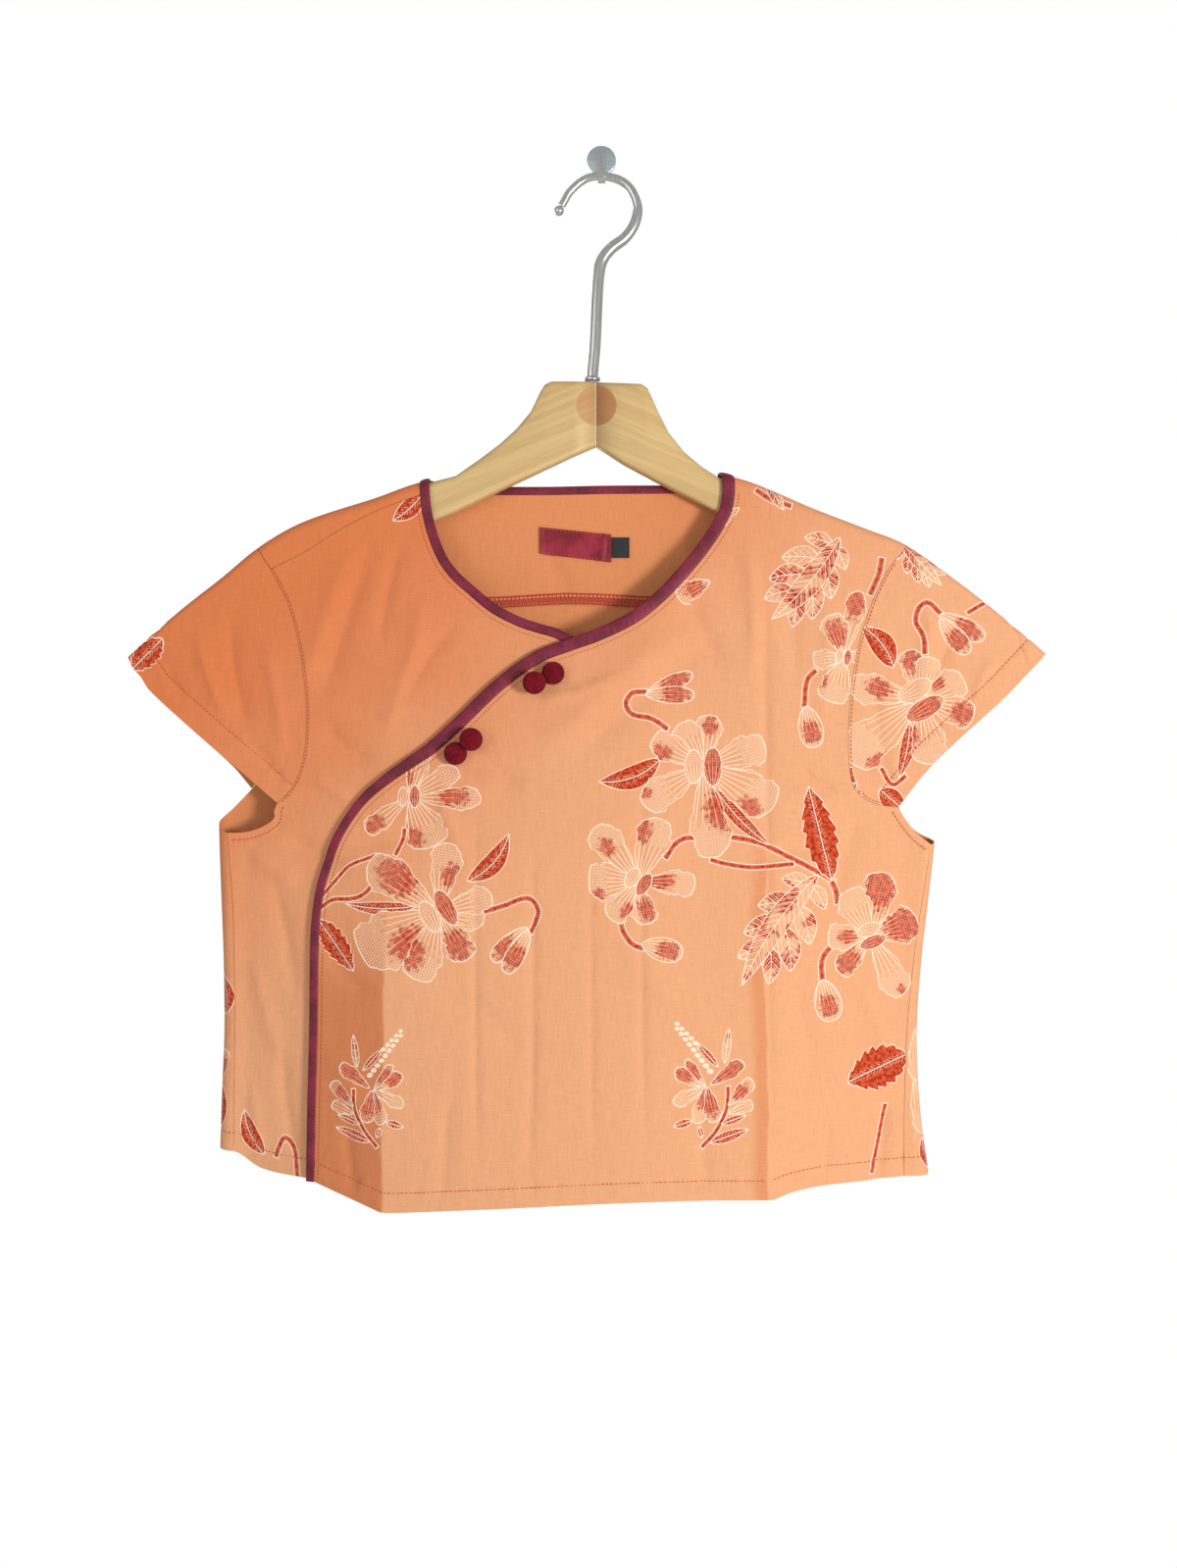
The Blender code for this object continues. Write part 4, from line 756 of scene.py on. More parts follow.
def blade(kind, x, v, turn, length, wide, bow=0.0, spot=(0.0, 0.0, 0.0), finish=None, phase=0.0):
    """A petal, leaf or bud: all sizes in millimetres, with its base at x and v."""
    x, v, length, wide = x / 1000, v / 1000, length / 1000, wide / 1000
    parts = {"petal": 44, "serrated": 56}.get(kind, 22)
    s = (1 - np.cos(np.linspace(0, math.pi, parts + 1))) / 2
    upper, lower = profile(kind, s, phase), profile(kind, s, phase + 2.1)
    along = np.concatenate([s, s[-2:0:-1]])
    across = np.concatenate([upper, -lower[-2:0:-1]]) * wide / 2
    spine = bow * length * 4 * along * (1 - along)
    outer = turned(along * length, across + spine, x, v, turn)
    small = across * np.abs(across) / (np.abs(across) + WAX)
    within = (along - 0.5) * (1 - 2.4 * WAX / length) + 0.5
    inner = turned(within * length, small + spine, x, v, turn)
    c, t = math.cos(math.radians(turn)), math.sin(math.radians(turn))

    def local(points):
        gone = (points - (x, v)) * 100
        return np.stack([gone[:, 0] * c + gone[:, 1] * t, gone[:, 1] * c - gone[:, 0] * t], -1)

    reach = length * 100
    facts = (spot[0] * reach, spot[1] * wide * 100, spot[2] * reach, reach)
    if kind not in ("petal", "bud", "oval"):
        facts = (bow, 0.0, wide * 100, reach)
    return Motif(finish or kind, outer, inner, local, facts)


# %% Stems along a smooth line
def nearest(line, points):
    """For each point: how far along the line its nearest place is, and how far left of it."""
    best = np.full(len(points), np.inf)
    along, left = np.zeros(len(points)), np.zeros(len(points))
    gone = 0.0
    for start, end in zip(line, line[1:]):
        run = end - start
        length = math.hypot(*run)
        to = points - start
        share = np.clip(to @ run / length ** 2, 0, 1)
        away = np.hypot(*(to - share[:, None] * run).T)
        closer = away < best
        best[closer] = away[closer]
        along[closer] = (gone + share * length)[closer]
        side = np.sign(run[0] * to[:, 1] - run[1] * to[:, 0])
        left[closer] = (side * away)[closer]
        gone += length
    return along, left


def stalk(row):
    """A stem: a ribbon along a smooth line."""
    line = curve(np.array(row.points) / 1000, 0.0018)
    half = row.wide / 2000
    ends = [line[0] - (line[1] - line[0]) * 0.4, line[-1] + (line[-1] - line[-2]) * 0.4]
    longer = np.concatenate([ends[:1], line, ends[1:]])
    outer = np.concatenate([beside(longer, half + WAX), beside(longer, -half - WAX)[::-1]])
    inner = np.concatenate([beside(line, half), beside(line, -half)[::-1]])
    return Motif("stem", outer, inner, lambda points: np.stack(nearest(line, points), -1) * 100,
                 (0.0, 0.0, row.wide / 10, 1.0))


# %% Flowers, sprays and lobed leaves
def bloom(flower):
    """All petals of a flower, then the two cups of its heart."""
    motifs = []
    for number, (turn, reach, wide, along, side, size) in enumerate(flower.petals):
        start = min(flower.wide, flower.long) * PETAL_START
        at = turned(start, 0.0, flower.x, flower.v, turn)
        motifs.append(blade("petal", at[0], at[1], turn, reach - start, wide * PETAL_SPREAD, 0.0,
                            (along, side, size), phase=number * 1.3))
    for side, share, spot in ((-0.30, 0.92, 0.55), (0.34, 0.80, 0.0)):
        at = turned(-flower.long * share / 2, flower.wide * side, flower.x, flower.v, flower.turn)
        motifs.append(blade("oval", at[0], at[1], flower.turn, flower.long * share,
                            flower.wide * 0.62, 0.0, (0.45, 0.0, spot), "petal"))
    return motifs


def sprig(x, v, size, mirror):
    """The embroidery-like flower spray above the hem, size millimetres high."""
    parts = [
        ("petal", 15, 190, -85, 245, 55, .7, .3), ("petal", 15, 190, -50, 278, 36, .6, .3),
        ("petal", 15, 190, -90, 140, 50, .5, 0), ("petal", 15, 190, -15, 75, 55, .3, .3),
        ("petal", 20, 190, 42, 78, 60, .4, .45), ("petal", 85, 130, 165, 210, 50, .5, .3),
        ("petal", 85, 105, 165, 135, 42, 0, 0), ("pale", 75, 262, 90, 375, 28, 0, 0),
        ("dark", 62, 72, 145, 100, 26, 0, 0), ("dark", 25, 15, 152, 56, 36, 0, 0),
        ("dark", -30, 85, -92, 68, 28, 0, 0), ("dark", 2, 30, -10, 68, 20, 0, 0),
        ("petal", 28, 195, 136, 268, 55, .5, .5),
    ]
    k = size / 385
    sign = -1 if mirror else 1
    motifs = [stalk(Stem(12 * k, [(x + sign * px * k, v + pz * k)
                                  for px, pz in ((0, 0), (45, 50), (80, 120), (86, 190))]))]
    for kind, x1, z1, x2, z2, wide, along, spot in parts:
        turn = math.degrees(math.atan2(z2 - z1, sign * (x2 - x1)))
        long = math.dist((x1, z1), (x2, z2))
        motifs.append(blade(kind, x + sign * x1 * k, v + z1 * k, turn, long * k, wide * k, 0.0,
                            (along, 0.0, spot), phase=x1 * 0.05))
    for number in range(18):
        share = number / 17
        off = (14 - 9 * share) * (1 if number % 2 else -1)
        cx, cz = 58 - 122 * share + off * 0.73, 248 + 140 * share + off * 0.68
        motifs.append(blade("oval", x + sign * (cx - 9) * k, v + (cz - 3) * k, 20 if mirror else 160,
                            (22 - 6 * share) * k, (17 - 5 * share) * k, finish="wax"))
    turn = math.degrees(math.atan2(80, -72 * sign))
    motifs.append(blade("dark", x + sign * 55 * k, v + 252 * k, turn, 106 * k, 26 * k))
    return motifs


def lobed(leaf):
    """A leaf with pointed lobes: pairs of slanting leaflets, then the middle one over them."""
    motifs = []
    for share, lean, size in ((0.10, 66, 0.36), (0.28, 54, 0.50), (0.46, 44, 0.52), (0.64, 34, 0.42)):
        for side in (1, -1):
            at = turned(leaf.long * share, 0.0, leaf.x, leaf.v, leaf.turn)
            grow = 1.0 + 0.08 * math.sin(share * 40 + side)
            motifs.append(blade("pale", at[0], at[1], leaf.turn + side * lean,
                                leaf.wide * size * grow * 1.15, leaf.wide * size * 0.62,
                                0.06 * side, phase=share * 9))
    motifs.append(blade("pale", leaf.x, leaf.v, leaf.turn, leaf.long, leaf.wide * 0.34, leaf.bow))
    return motifs


def spray(flowers, leaves, stems):
    """Stems first, so that leaves and flowers cover their ends."""
    motifs = [stalk(row) for row in stems]
    for leaf in leaves:
        if leaf.kind == "lobed":
            motifs += lobed(leaf)
        elif leaf.kind == "bud":
            motifs.append(blade("bud", *leaf[1:], spot=(0.62, 0.0, 0.28), finish="petal"))
        else:
            motifs.append(blade(leaf.kind, *leaf[1:], phase=leaf.x * 0.1))
    for flower in flowers:
        motifs += bloom(flower)
    return motifs


front_print = spray(FLOWERS, LEAVES, STEMS)
front_print += sprig(65, -670, 79, False) + sprig(-147, -670, 74, True)
sleeve_print = spray(SLEEVE_FLOWERS, SLEEVE_LEAVES, SLEEVE_STEMS)
print(len(front_print), "printed shapes on the overlapping front")

# %% [markdown]
# ## Cotton and its colours
#
# The cotton is a fine plain weave, dyed peach, with slubs: short thicker stretches of thread that
# catch the light. Two noises, drawn out along the two thread directions, make them. They read the
# flat coordinates of the cloth, so the threads follow it over the hanger. The dyes of the print
# take the same weave, and their rays, nets and midribs come from each shape's own coordinates.
#
# The cloth's colour is painted lighter towards the lower right and darker towards the upper left:
# painted light and shade. On the overlapping front, painted shade darkens bands beside the two
# pressed creases, to show them.

# %% Helpers for materials
def add(tree, kind, inputs=(), **settings):
    """A node with its settings, and its inputs given as numbers or as other nodes' outputs."""
    made = tree.nodes.new(kind)
    for key, value in settings.items():
        setattr(made, key, value)
    for key, value in dict(inputs).items():
        if isinstance(value, bpy.types.NodeSocket):
            tree.links.new(value, made.inputs[key])
        else:
            made.inputs[key].default_value = value
    return made


def calc(tree, operation, *values):
    return add(tree, "ShaderNodeMath", dict(enumerate(values)), operation=operation).outputs[0]


def product(tree, first, second):
    return calc(tree, "MULTIPLY", first, second)


def swing(tree, value, amount):
    """A noise between 0 and 1 as a swing round zero."""
    return product(tree, calc(tree, "SUBTRACT", value, 0.5), amount)


def reach_from_zero(tree, along, across):
    """The distance from zero of a place given along and across."""
    return calc(tree, "SQRT", calc(tree, "ADD", product(tree, along, along),
                                   product(tree, across, across)))


def mixed(tree, share, first, second):
    return add(tree, "ShaderNodeMix", {0: share, 6: first, 7: second}, data_type="RGBA").outputs[2]


# %% Ramps, lines and noises
def ramp(tree, value, start, end):
    """0 up to start and 1 from end, smoothly between, also where end is the lower one."""
    made = add(tree, "ShaderNodeMapRange", {"Value": value}, interpolation_type="SMOOTHSTEP")
    made.inputs["From Min"].default_value = start
    made.inputs["From Max"].default_value = end
    return made.outputs["Result"]


def lines(tree, value, spacing, width):
    """1 on thin lines a spacing apart in the value, 0 between them."""
    away = product(tree, calc(tree, "PINGPONG", calc(tree, "DIVIDE", value, spacing), 0.5),
                   spacing)
    return ramp(tree, away, width * 0.75, width * 0.35)


def noise(tree, vector, scale, stretch=(1.0, 1.0, 1.0), detail=2.0):
    if stretch != (1.0, 1.0, 1.0):
        vector = add(tree, "ShaderNodeMapping", {"Vector": vector, "Scale": stretch}).outputs[0]
    return add(tree, "ShaderNodeTexNoise", {"Vector": vector, "Scale": scale, "Detail": detail}
               ).outputs["Fac"]


# %% New materials, and copies in other colours
def new_material(name, roughness):
    material = bpy.data.materials.new(name)
    material.use_nodes = True
    tree = material.node_tree
    shader = tree.nodes["Principled BSDF"]
    shader.inputs["Roughness"].default_value = roughness
    return material, tree, shader


def recoloured(material, name, dark, light):
    """A copy of a material whose unlinked mix colours are changed."""
    copy = material.copy()
    copy.name = name
    for mix in [node for node in copy.node_tree.nodes if node.type == "MIX"]:
        for socket, tone in ((mix.inputs[6], dark), (mix.inputs[7], light)):
            if not socket.is_linked:
                socket.default_value = tone
    return copy


print("Helpers for nodes are ready")

# %% Cotton with its weave
PEACH = (0.78, 0.375, 0.190, 1)
# The cloth's colour in painted shade, used towards the upper left.
PEACH_PAINTED_SHADE = (0.70, 0.200, 0.070, 1)
# The cloth's colour in the painted shade beside the pressed creases.
CREASE_PAINTED_SHADE = (0.62, 0.190, 0.070, 1)
PALE_SIDE = (0.72, 0.265, 0.105, 1)
CREAM = (0.92, 0.76, 0.58, 1)
BRICK = (0.66, 0.088, 0.022, 1)
OXBLOOD = (0.35, 0.020, 0.008, 1)
# The bands of painted shade beside the pressed creases, in decimetres across (start, end) and up.
LEFT_SHADE_BAND = (-1.430, -1.450)
LEFT_SHADE_BAND_BELOW = (-4.9, -5.8)
RIGHT_SHADE_BAND = (0.95, 1.05)
RIGHT_SHADE_BAND_END = (1.090, 1.075)
RIGHT_SHADE_BAND_BELOW = (-4.5, -5.0)


def weave(tree, shader, colour, thread_depth=0.00016):
    """Slubs and crossing threads over a colour, in the cloth's flat coordinates."""
    flat = add(tree, "ShaderNodeUVMap", uv_map="flat").outputs[0]
    warp = noise(tree, flat, 1.0, (230.0, 9.0, 1.0))
    weft = noise(tree, flat, 1.0, (9.0, 230.0, 1.0))
    threads = calc(tree, "ADD", warp, weft)
    tone = ramp(tree, threads, 0.72, 1.28)
    dark = mixed(tree, 0.16, colour, (0.25, 0.06, 0.02, 1))
    tree.links.new(mixed(tree, tone, dark, colour), shader.inputs["Base Color"])
    rumple = noise(tree, flat, 1.0, (15.0, 5.0, 1.0), 3.0)
    crinkle = add(tree, "ShaderNodeBump", {"Height": rumple, "Distance": 0.0014, "Strength": 0.45})
    bump = add(tree, "ShaderNodeBump", {"Height": threads, "Distance": thread_depth, "Strength": 0.55,
                                        "Normal": crinkle.outputs[0]})
    tree.links.new(bump.outputs[0], shader.inputs["Normal"])
    shader.inputs["Sheen Weight"].default_value = 0.05
    shader.inputs["Specular IOR Level"].default_value = 0.15
    shader.inputs["Sheen Roughness"].default_value = 0.5


def cotton_ground(tree):
    """The dyed cloth, with painted light towards its lower right and painted shade beside the two
    pressed creases.
    """
    flat = add(tree, "ShaderNodeUVMap", uv_map="flat").outputs[0]
    cloud = noise(tree, flat, 1.6, detail=3.0)
    x, v, _ = add(tree, "ShaderNodeSeparateXYZ", {0: flat}).outputs
    # Painted light and shade: the colour runs from darker at the upper left to lighter at the lower
    # right.
    pale = calc(tree, "SUBTRACT", product(tree, x, 0.8), v)
    pale = calc(tree, "ADD", pale, swing(tree, cloud, 1.2))
    painted_light_gradient = mixed(tree, ramp(tree, pale, 1.2, 4.8), PEACH_PAINTED_SHADE, PEACH)
    edge = calc(tree, "ADD", x, swing(tree, cloud, 0.12))
    # Painted shade: darker bands beside the two pressed creases, only on the overlapping front.
    left = product(tree, ramp(tree, edge, *LEFT_SHADE_BAND), ramp(tree, v, *LEFT_SHADE_BAND_BELOW))
    right = product(tree, ramp(tree, edge, *RIGHT_SHADE_BAND), ramp(tree, edge, *RIGHT_SHADE_BAND_END))
    right = product(tree, right, ramp(tree, v, *RIGHT_SHADE_BAND_BELOW))
    bands = calc(tree, "ADD", product(tree, left, 0.85), product(tree, right, 0.55))
    on_front = add(tree, "ShaderNodeAttribute", attribute_name="overlaps").outputs["Fac"]
    return mixed(tree, product(tree, bands, on_front), painted_light_gradient, CREASE_PAINTED_SHADE)


def parts_of(tree):
    """Along and across one printed shape, in centimetres, and the four facts about it."""
    local = add(tree, "ShaderNodeUVMap", uv_map="print").outputs[0]
    along, across, _ = add(tree, "ShaderNodeSeparateXYZ", {0: local}).outputs
    facts = add(tree, "ShaderNodeAttribute", attribute_name="shape_facts")
    three = add(tree, "ShaderNodeSeparateColor", {0: facts.outputs["Color"]}).outputs
    return local, along, across, three, facts.outputs["Alpha"]


peach, tree, shader = new_material("peach_cotton", 0.82)
weave(tree, shader, cotton_ground(tree))
inside, tree, shader = new_material("peach_cotton_inside", 0.86)
weave(tree, shader, PALE_SIDE)
wax, tree, shader = new_material("wax_line", 0.84)
weave(tree, shader, CREAM)
print("Plain cotton, its inner side and the wax lines are mixed")

# %% Petals: rays, net and a hatched red spot
petal, tree, shader = new_material("printed_petal", 0.82)
local, along, across, facts, reach = parts_of(tree)
grain = noise(tree, local, 3.2, detail=3.0)
origin = calc(tree, "ADD", along, 0.9)
radius = reach_from_zero(tree, origin, across)
angle = calc(tree, "ARCTAN2", across, origin)
RAY_ANGLE = 0.115
ray_gap = calc(tree, "PINGPONG", calc(tree, "DIVIDE", angle, RAY_ANGLE), 0.5)
ray_gap = product(tree, ray_gap, product(tree, radius, RAY_ANGLE))
ray = ramp(tree, ray_gap, 0.034, 0.016)
ray_end = product(tree, reach, calc(tree, "ADD", product(tree, grain, 0.7), 0.22))
inner_half = ramp(tree, calc(tree, "SUBTRACT", along, ray_end), 0.12, -0.12)
ray = product(tree, ray, inner_half)
net = calc(tree, "MAXIMUM", lines(tree, along, 0.17, 0.030), lines(tree, across, 0.19, 0.030))
net = product(tree, net, calc(tree, "SUBTRACT", 1.0, inner_half))
spot_along = calc(tree, "DIVIDE", calc(tree, "SUBTRACT", along, facts[0]),
                  calc(tree, "MAXIMUM", facts[2], 0.001))
spot_across = calc(tree, "DIVIDE", calc(tree, "SUBTRACT", across, facts[1]),
                   calc(tree, "MAXIMUM", product(tree, facts[2], 0.75), 0.001))
spot = reach_from_zero(tree, spot_along, spot_across)
spot = calc(tree, "ADD", spot, swing(tree, grain, 1.6))
streak = noise(tree, local, 2.6, stretch=(0.8, 5.0, 1.0), detail=2.0)
spot = calc(tree, "ADD", spot, swing(tree, streak, 1.1))
spot = product(tree, ramp(tree, spot, 1.22, 0.72), ramp(tree, facts[2], 0.02, 0.05))
hatch = product(tree, lines(tree, across, 0.13, 0.03), 0.16)
dye = mixed(tree, ramp(tree, grain, 0.36, 0.60), OXBLOOD, BRICK)
colour = mixed(tree, spot, cotton_ground(tree), dye)
colour = mixed(tree, product(tree, hatch, spot), colour, CREAM)
net = product(tree, net, calc(tree, "SUBTRACT", 0.60, product(tree, spot, 0.32)))
colour = mixed(tree, net, colour, CREAM)
faint = calc(tree, "SUBTRACT", 1.0, product(tree, spot, 0.5))
colour = mixed(tree, product(tree, ray, faint), colour, CREAM)
weave(tree, shader, colour)
print("Petal dye has", len(tree.nodes), "nodes")


# %% Leaves: a midrib with slanting veins, pale or dark
def leaf_material(name, dark):
    material, tree, shader = new_material(name, 0.82)
    local, along, across, facts, reach = parts_of(tree)
    share = calc(tree, "DIVIDE", along, reach)
    arch = product(tree, product(tree, share, calc(tree, "SUBTRACT", 1.0, share)), 4.0)
    spine = product(tree, product(tree, arch, facts[0]), reach)
    away = calc(tree, "ABSOLUTE", calc(tree, "SUBTRACT", across, spine))
    rib = ramp(tree, away, 0.042, 0.022)
    slant = calc(tree, "SUBTRACT", along, product(tree, away, 1.15))
    grain = noise(tree, local, 4.0, detail=3.0)
    broken = ramp(tree, grain, 0.36, 0.46)
    fine = product(tree, lines(tree, slant, 0.24, 0.040), broken)
    edge = ramp(tree, calc(tree, "SUBTRACT", away, product(tree, facts[2], 0.40)), 0.03, -0.05)
    fine = product(tree, product(tree, fine, edge), ramp(tree, away, 0.07, 0.12))
    dye = mixed(tree, ramp(tree, grain, 0.38, 0.62), OXBLOOD, BRICK)
    if dark:
        ground = dye
        inner_marks = product(tree, ramp(tree, away, 0.34, 0.24), fine)
        marks = calc(tree, "MAXIMUM", rib, product(tree, inner_marks, 0.75))
    else:
        flat = add(tree, "ShaderNodeUVMap", uv_map="flat").outputs[0]
        blot = noise(tree, flat, 7.0, detail=2.0)
        ground = mixed(tree, ramp(tree, blot, 0.47, 0.56), cotton_ground(tree), dye)
        veins = lines(tree, slant, 0.50, 0.045)
        marks = calc(tree, "MAXIMUM", rib, calc(tree, "MAXIMUM", veins, product(tree, fine, 0.8)))
    weave(tree, shader, mixed(tree, marks, ground, CREAM))
    return material


dark_leaf = leaf_material("printed_dark_leaf", True)
pale_leaf = leaf_material("printed_pale_leaf", False)
stem_dye, tree, shader = new_material("printed_stem", 0.82)
local, along, across, facts, reach = parts_of(tree)
ticks = product(tree, lines(tree, along, 0.11, 0.035),
                ramp(tree, calc(tree, "ABSOLUTE", across), 0.06, 0.10))
stalk_dye = mixed(tree, ramp(tree, noise(tree, local, 3.0), 0.36, 0.60), OXBLOOD, BRICK)
weave(tree, shader, mixed(tree, product(tree, ticks, 0.55), stalk_dye, CREAM))
PRINT_SLOTS = {"petal": 2, "dark": 3, "serrated": 3, "pale": 4, "stem": 5, "wax": 6}
CLOTH_FINISHES = (peach, inside, petal, dark_leaf, pale_leaf, stem_dye, wax)
print("A printed piece carries", len(CLOTH_FINISHES), "finishes")

# %% [markdown]
# ## Cut, print and hang each piece
#
# A Delaunay triangulation fills a flat outline with triangles and keeps every line that it is
# given. It gets the piece's outline, the outlines of the printed shapes, and a lattice of inner
# points that is closer where the cloth bends. The result hangs by the formulas above, once for
# the right side and once for the inner side, and a narrow wall closes the cut edge. The hem is a
# folded band, a little proud, with the groove and puckers that its stitching pulls.


# %% Draw out the bends, so that they get more triangles
def stretched(flat):
    """Flat points with the bends drawn out, so that the triangles follow them."""
    x, above = flat[:, 0], flat[:, 1] - tangent(flat[:, 0])
    aside = np.minimum(x - LEFT_SIDE, 0) + np.maximum(x - RIGHT_SIDE, 0)
    bent = np.clip(above, 0, math.pi * ridge_radius(x))
    return np.stack([x + (BEND_STRETCH - 1) * aside, above + (BEND_STRETCH - 1) * bent], -1)


def unstretched(drawn):
    wide, tall = drawn.T
    x = np.where(wide < LEFT_SIDE, LEFT_SIDE + (wide - LEFT_SIDE) / BEND_STRETCH, wide)
    x = np.where(wide > RIGHT_SIDE, RIGHT_SIDE + (wide - RIGHT_SIDE) / BEND_STRETCH, x)
    bend = math.pi * ridge_radius(x)
    above = np.where(tall > BEND_STRETCH * bend, tall - (BEND_STRETCH - 1) * bend,
                     np.where(tall > 0, tall / BEND_STRETCH, tall))
    return np.stack([x, above + tangent(x)], -1)


# %% Points for the triangles
CREASES_OF = {"hang_overlap": FRONT_CREASES + FRONT_FOLDS, "hang_under": UNDER_CREASES,
              "hang_sleeve": SLEEVE_CREASES, "hang_back": BACK_CREASES}


NEAREST = 0.0013


def thinned(grid, pressed):
    """The lattice and the crease rows together, with no two points nearer than the nearest."""
    cells = {}
    for x, y in np.concatenate([pressed, grid]).tolist():
        cell = (round(x / NEAREST), round(y / NEAREST))
        around = ((cell[0] + i, cell[1] + j) for i in (-1, 0, 1) for j in (-1, 0, 1))
        if all(math.dist((x, y), cells[near]) > NEAREST for near in around if near in cells):
            cells[cell] = (x, y)
    return np.array(list(cells.values()))


def distance_to(ring, points):
    """The distance from points to a closed outline, negative outside it."""
    best, inside_it = np.full(len(points), np.inf), np.zeros(len(points), bool)
    px, py = points.T
    for start, end in zip(ring, np.roll(ring, -1, axis=0)):
        run = end - start
        share = np.clip(((px - start[0]) * run[0] + (py - start[1]) * run[1]) / (run @ run), 0, 1)
        best = np.minimum(best, np.hypot(px - start[0] - share * run[0], py - start[1] - share * run[1]))
        if run[1]:
            crosses = (start[1] > py) != (end[1] > py)
            inside_it ^= crosses & (start[0] + (py - start[1]) * run[0] / run[1] > px)
    return np.where(inside_it, best, -best)


# %% The relief of a hem
HEM_RISE = 0.00022
GROOVE_DEPTH = 0.00050
PUCKER_DEPTH = 0.00028


def hem_relief(hems, flat):
    """A folded band along each hem, with the groove and the puckers of its stitches."""
    total = np.zeros(len(flat))
    for line, band in hems:
        along, left = nearest(line, flat)
        away = np.abs(left) - band
        pucker = np.sin(along * 620) * np.sin(along * 213 + 1.0)
        total += HEM_RISE * smooth_step(-away / 0.0010)
        total -= GROOVE_DEPTH * np.exp(-((away / 0.0012) ** 2))
        total += PUCKER_DEPTH * pucker * np.exp(-((away / 0.0055) ** 2))
    return total


def face_of(piece, x, v, lift=0.0):
    """Points on the right side of a piece of cloth, at flat points, lifted off it a little."""
    flat = np.stack([np.asarray(x, float), np.asarray(v, float)], -1)
    out = CLOTH / 2 + lift + hem_relief(piece.hems, flat)
    return piece.place(flat[:, 0], flat[:, 1]) + outward(piece.place, *flat.T) * out[:, None]


Piece = namedtuple("Piece", "name node place outline hems motifs")


# %% Cut a piece flat, with its print
def cut(piece):
    """The flat points of a piece, its triangles, and each triangle's slot and printed shape."""
    edge = stretched(inset(piece.outline, SEAM_GAP / 2))
    low, high = edge.min(0), edge.max(0)
    rows = np.arange(low[1], high[1], LATTICE * 0.866)
    grid = np.array([(x + (LATTICE / 2 if i % 2 else 0), y) for i, y in enumerate(rows)
                     for x in np.arange(low[0], high[0], LATTICE)])
    pressed = stretched(along_folds(CREASES_OF[piece.place.__name__]))
    grid = thinned(grid, pressed)
    grid = grid[distance_to(edge, grid) > LATTICE * 0.4]
    points, faces, kinds = [edge], [list(range(len(edge)))], [(0, -1)]
    count = len(edge)
    for number, motif in enumerate(piece.motifs):
        for shape, kind in ((motif.outer, "wax"), (motif.inner, motif.finish)):
            ring = stretched(ring_of(shape))
            if np.any(ring.max(0) < low) or np.any(ring.min(0) > high):
                continue
            near = np.all((grid > ring.min(0) - 0.001) & (grid < ring.max(0) + 0.001), axis=1)
            near[near] = np.abs(distance_to(ring, grid[near])) < 0.0011
            grid = grid[~near]
            points.append(ring)
            faces.append(list(range(count, count + len(ring))))
            kinds.append((PRINT_SLOTS[kind], number))
            count += len(ring)
    drawn = [Vector(point) for point in np.concatenate(points + [grid])]
    spots, _, triangles, _, _, owners = delaunay_2d_cdt(drawn, [], faces, 1, 1e-6, True)
    kept = [(triangle, max(owner)) for triangle, owner in zip(triangles, owners) if 0 in owner]
    used = sorted({i for triangle, _ in kept for i in triangle})
    place_of = {old: new for new, old in enumerate(used)}
    flat = unstretched(np.array([spots[i] for i in used]))
    back = piece.place is hang_back
    right = [[place_of[i] for i in (triangle[::-1] if back else triangle)] for triangle, _ in kept]
    return flat, right, [kinds[top] for _, top in kept]


# %% Hang a piece over the hanger
def hang_piece(piece):
    flat, right, prints = cut(piece)
    middle, normal = piece.place(*flat.T), outward(piece.place, *flat.T)
    proud = hem_relief(piece.hems, flat) if piece.hems else np.zeros(len(flat))
    outer = middle + normal * (CLOTH / 2 + proud)[:, None]
    inner = middle - normal * CLOTH / 2
    size = len(flat)
    wrong = [[i + size for i in face[::-1]] for face in right]
    sides = {(face[i - 1], face[i]) for face in right for i in range(3)}
    walls = [(b, a, a + size, b + size) for a, b in sorted(sides) if (b, a) not in sides]
    mesh = bpy.data.meshes.new(piece.name)
    mesh.from_pydata(np.concatenate([outer, inner]).tolist(), [], right + wrong + walls)
    slots = [slot for slot, _ in prints] + [1] * len(wrong) + [0] * len(walls)
    mesh.polygons.foreach_set("material_index", slots)
    for finish in CLOTH_FINISHES:
        mesh.materials.append(finish)
    corner = np.empty(len(mesh.loops), int)
    mesh.loops.foreach_get("vertex_index", corner)
    corner %= size
    print_uv, facts = np.zeros((len(corner), 2)), np.zeros((len(corner), 4))
    shape_of = np.repeat([number for _, number in prints], 3)
    for number in sorted(set(shape_of) - {-1}):
        mine = np.nonzero(shape_of == number)[0]
        print_uv[mine] = piece.motifs[number].local(flat[corner[mine]])
        facts[mine] = piece.motifs[number].spot
    mesh.uv_layers.new(name="flat").data.foreach_set("uv", (flat[corner] * 10).astype("f").ravel())
    mesh.uv_layers.new(name="print").data.foreach_set("uv", print_uv.astype("f").ravel())
    colours = mesh.attributes.new("shape_facts", "FLOAT_COLOR", "CORNER")
    colours.data.foreach_set("color", facts.astype("f").ravel())
    # Marks the overlapping front, the one piece that gets the painted crease shade.
    overlaps = mesh.attributes.new("overlaps", "FLOAT", "POINT")
    overlaps.data.foreach_set("value", [float(piece.place is hang_overlap)] * len(mesh.vertices))
    mesh.shade_smooth()
    mesh.set_sharp_from_angle(angle=math.radians(60))
    cloth = bpy.data.objects.new(piece.name, mesh)
    bpy.context.scene.collection.objects.link(cloth)
    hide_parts(piece.node)
    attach(cloth, "root")


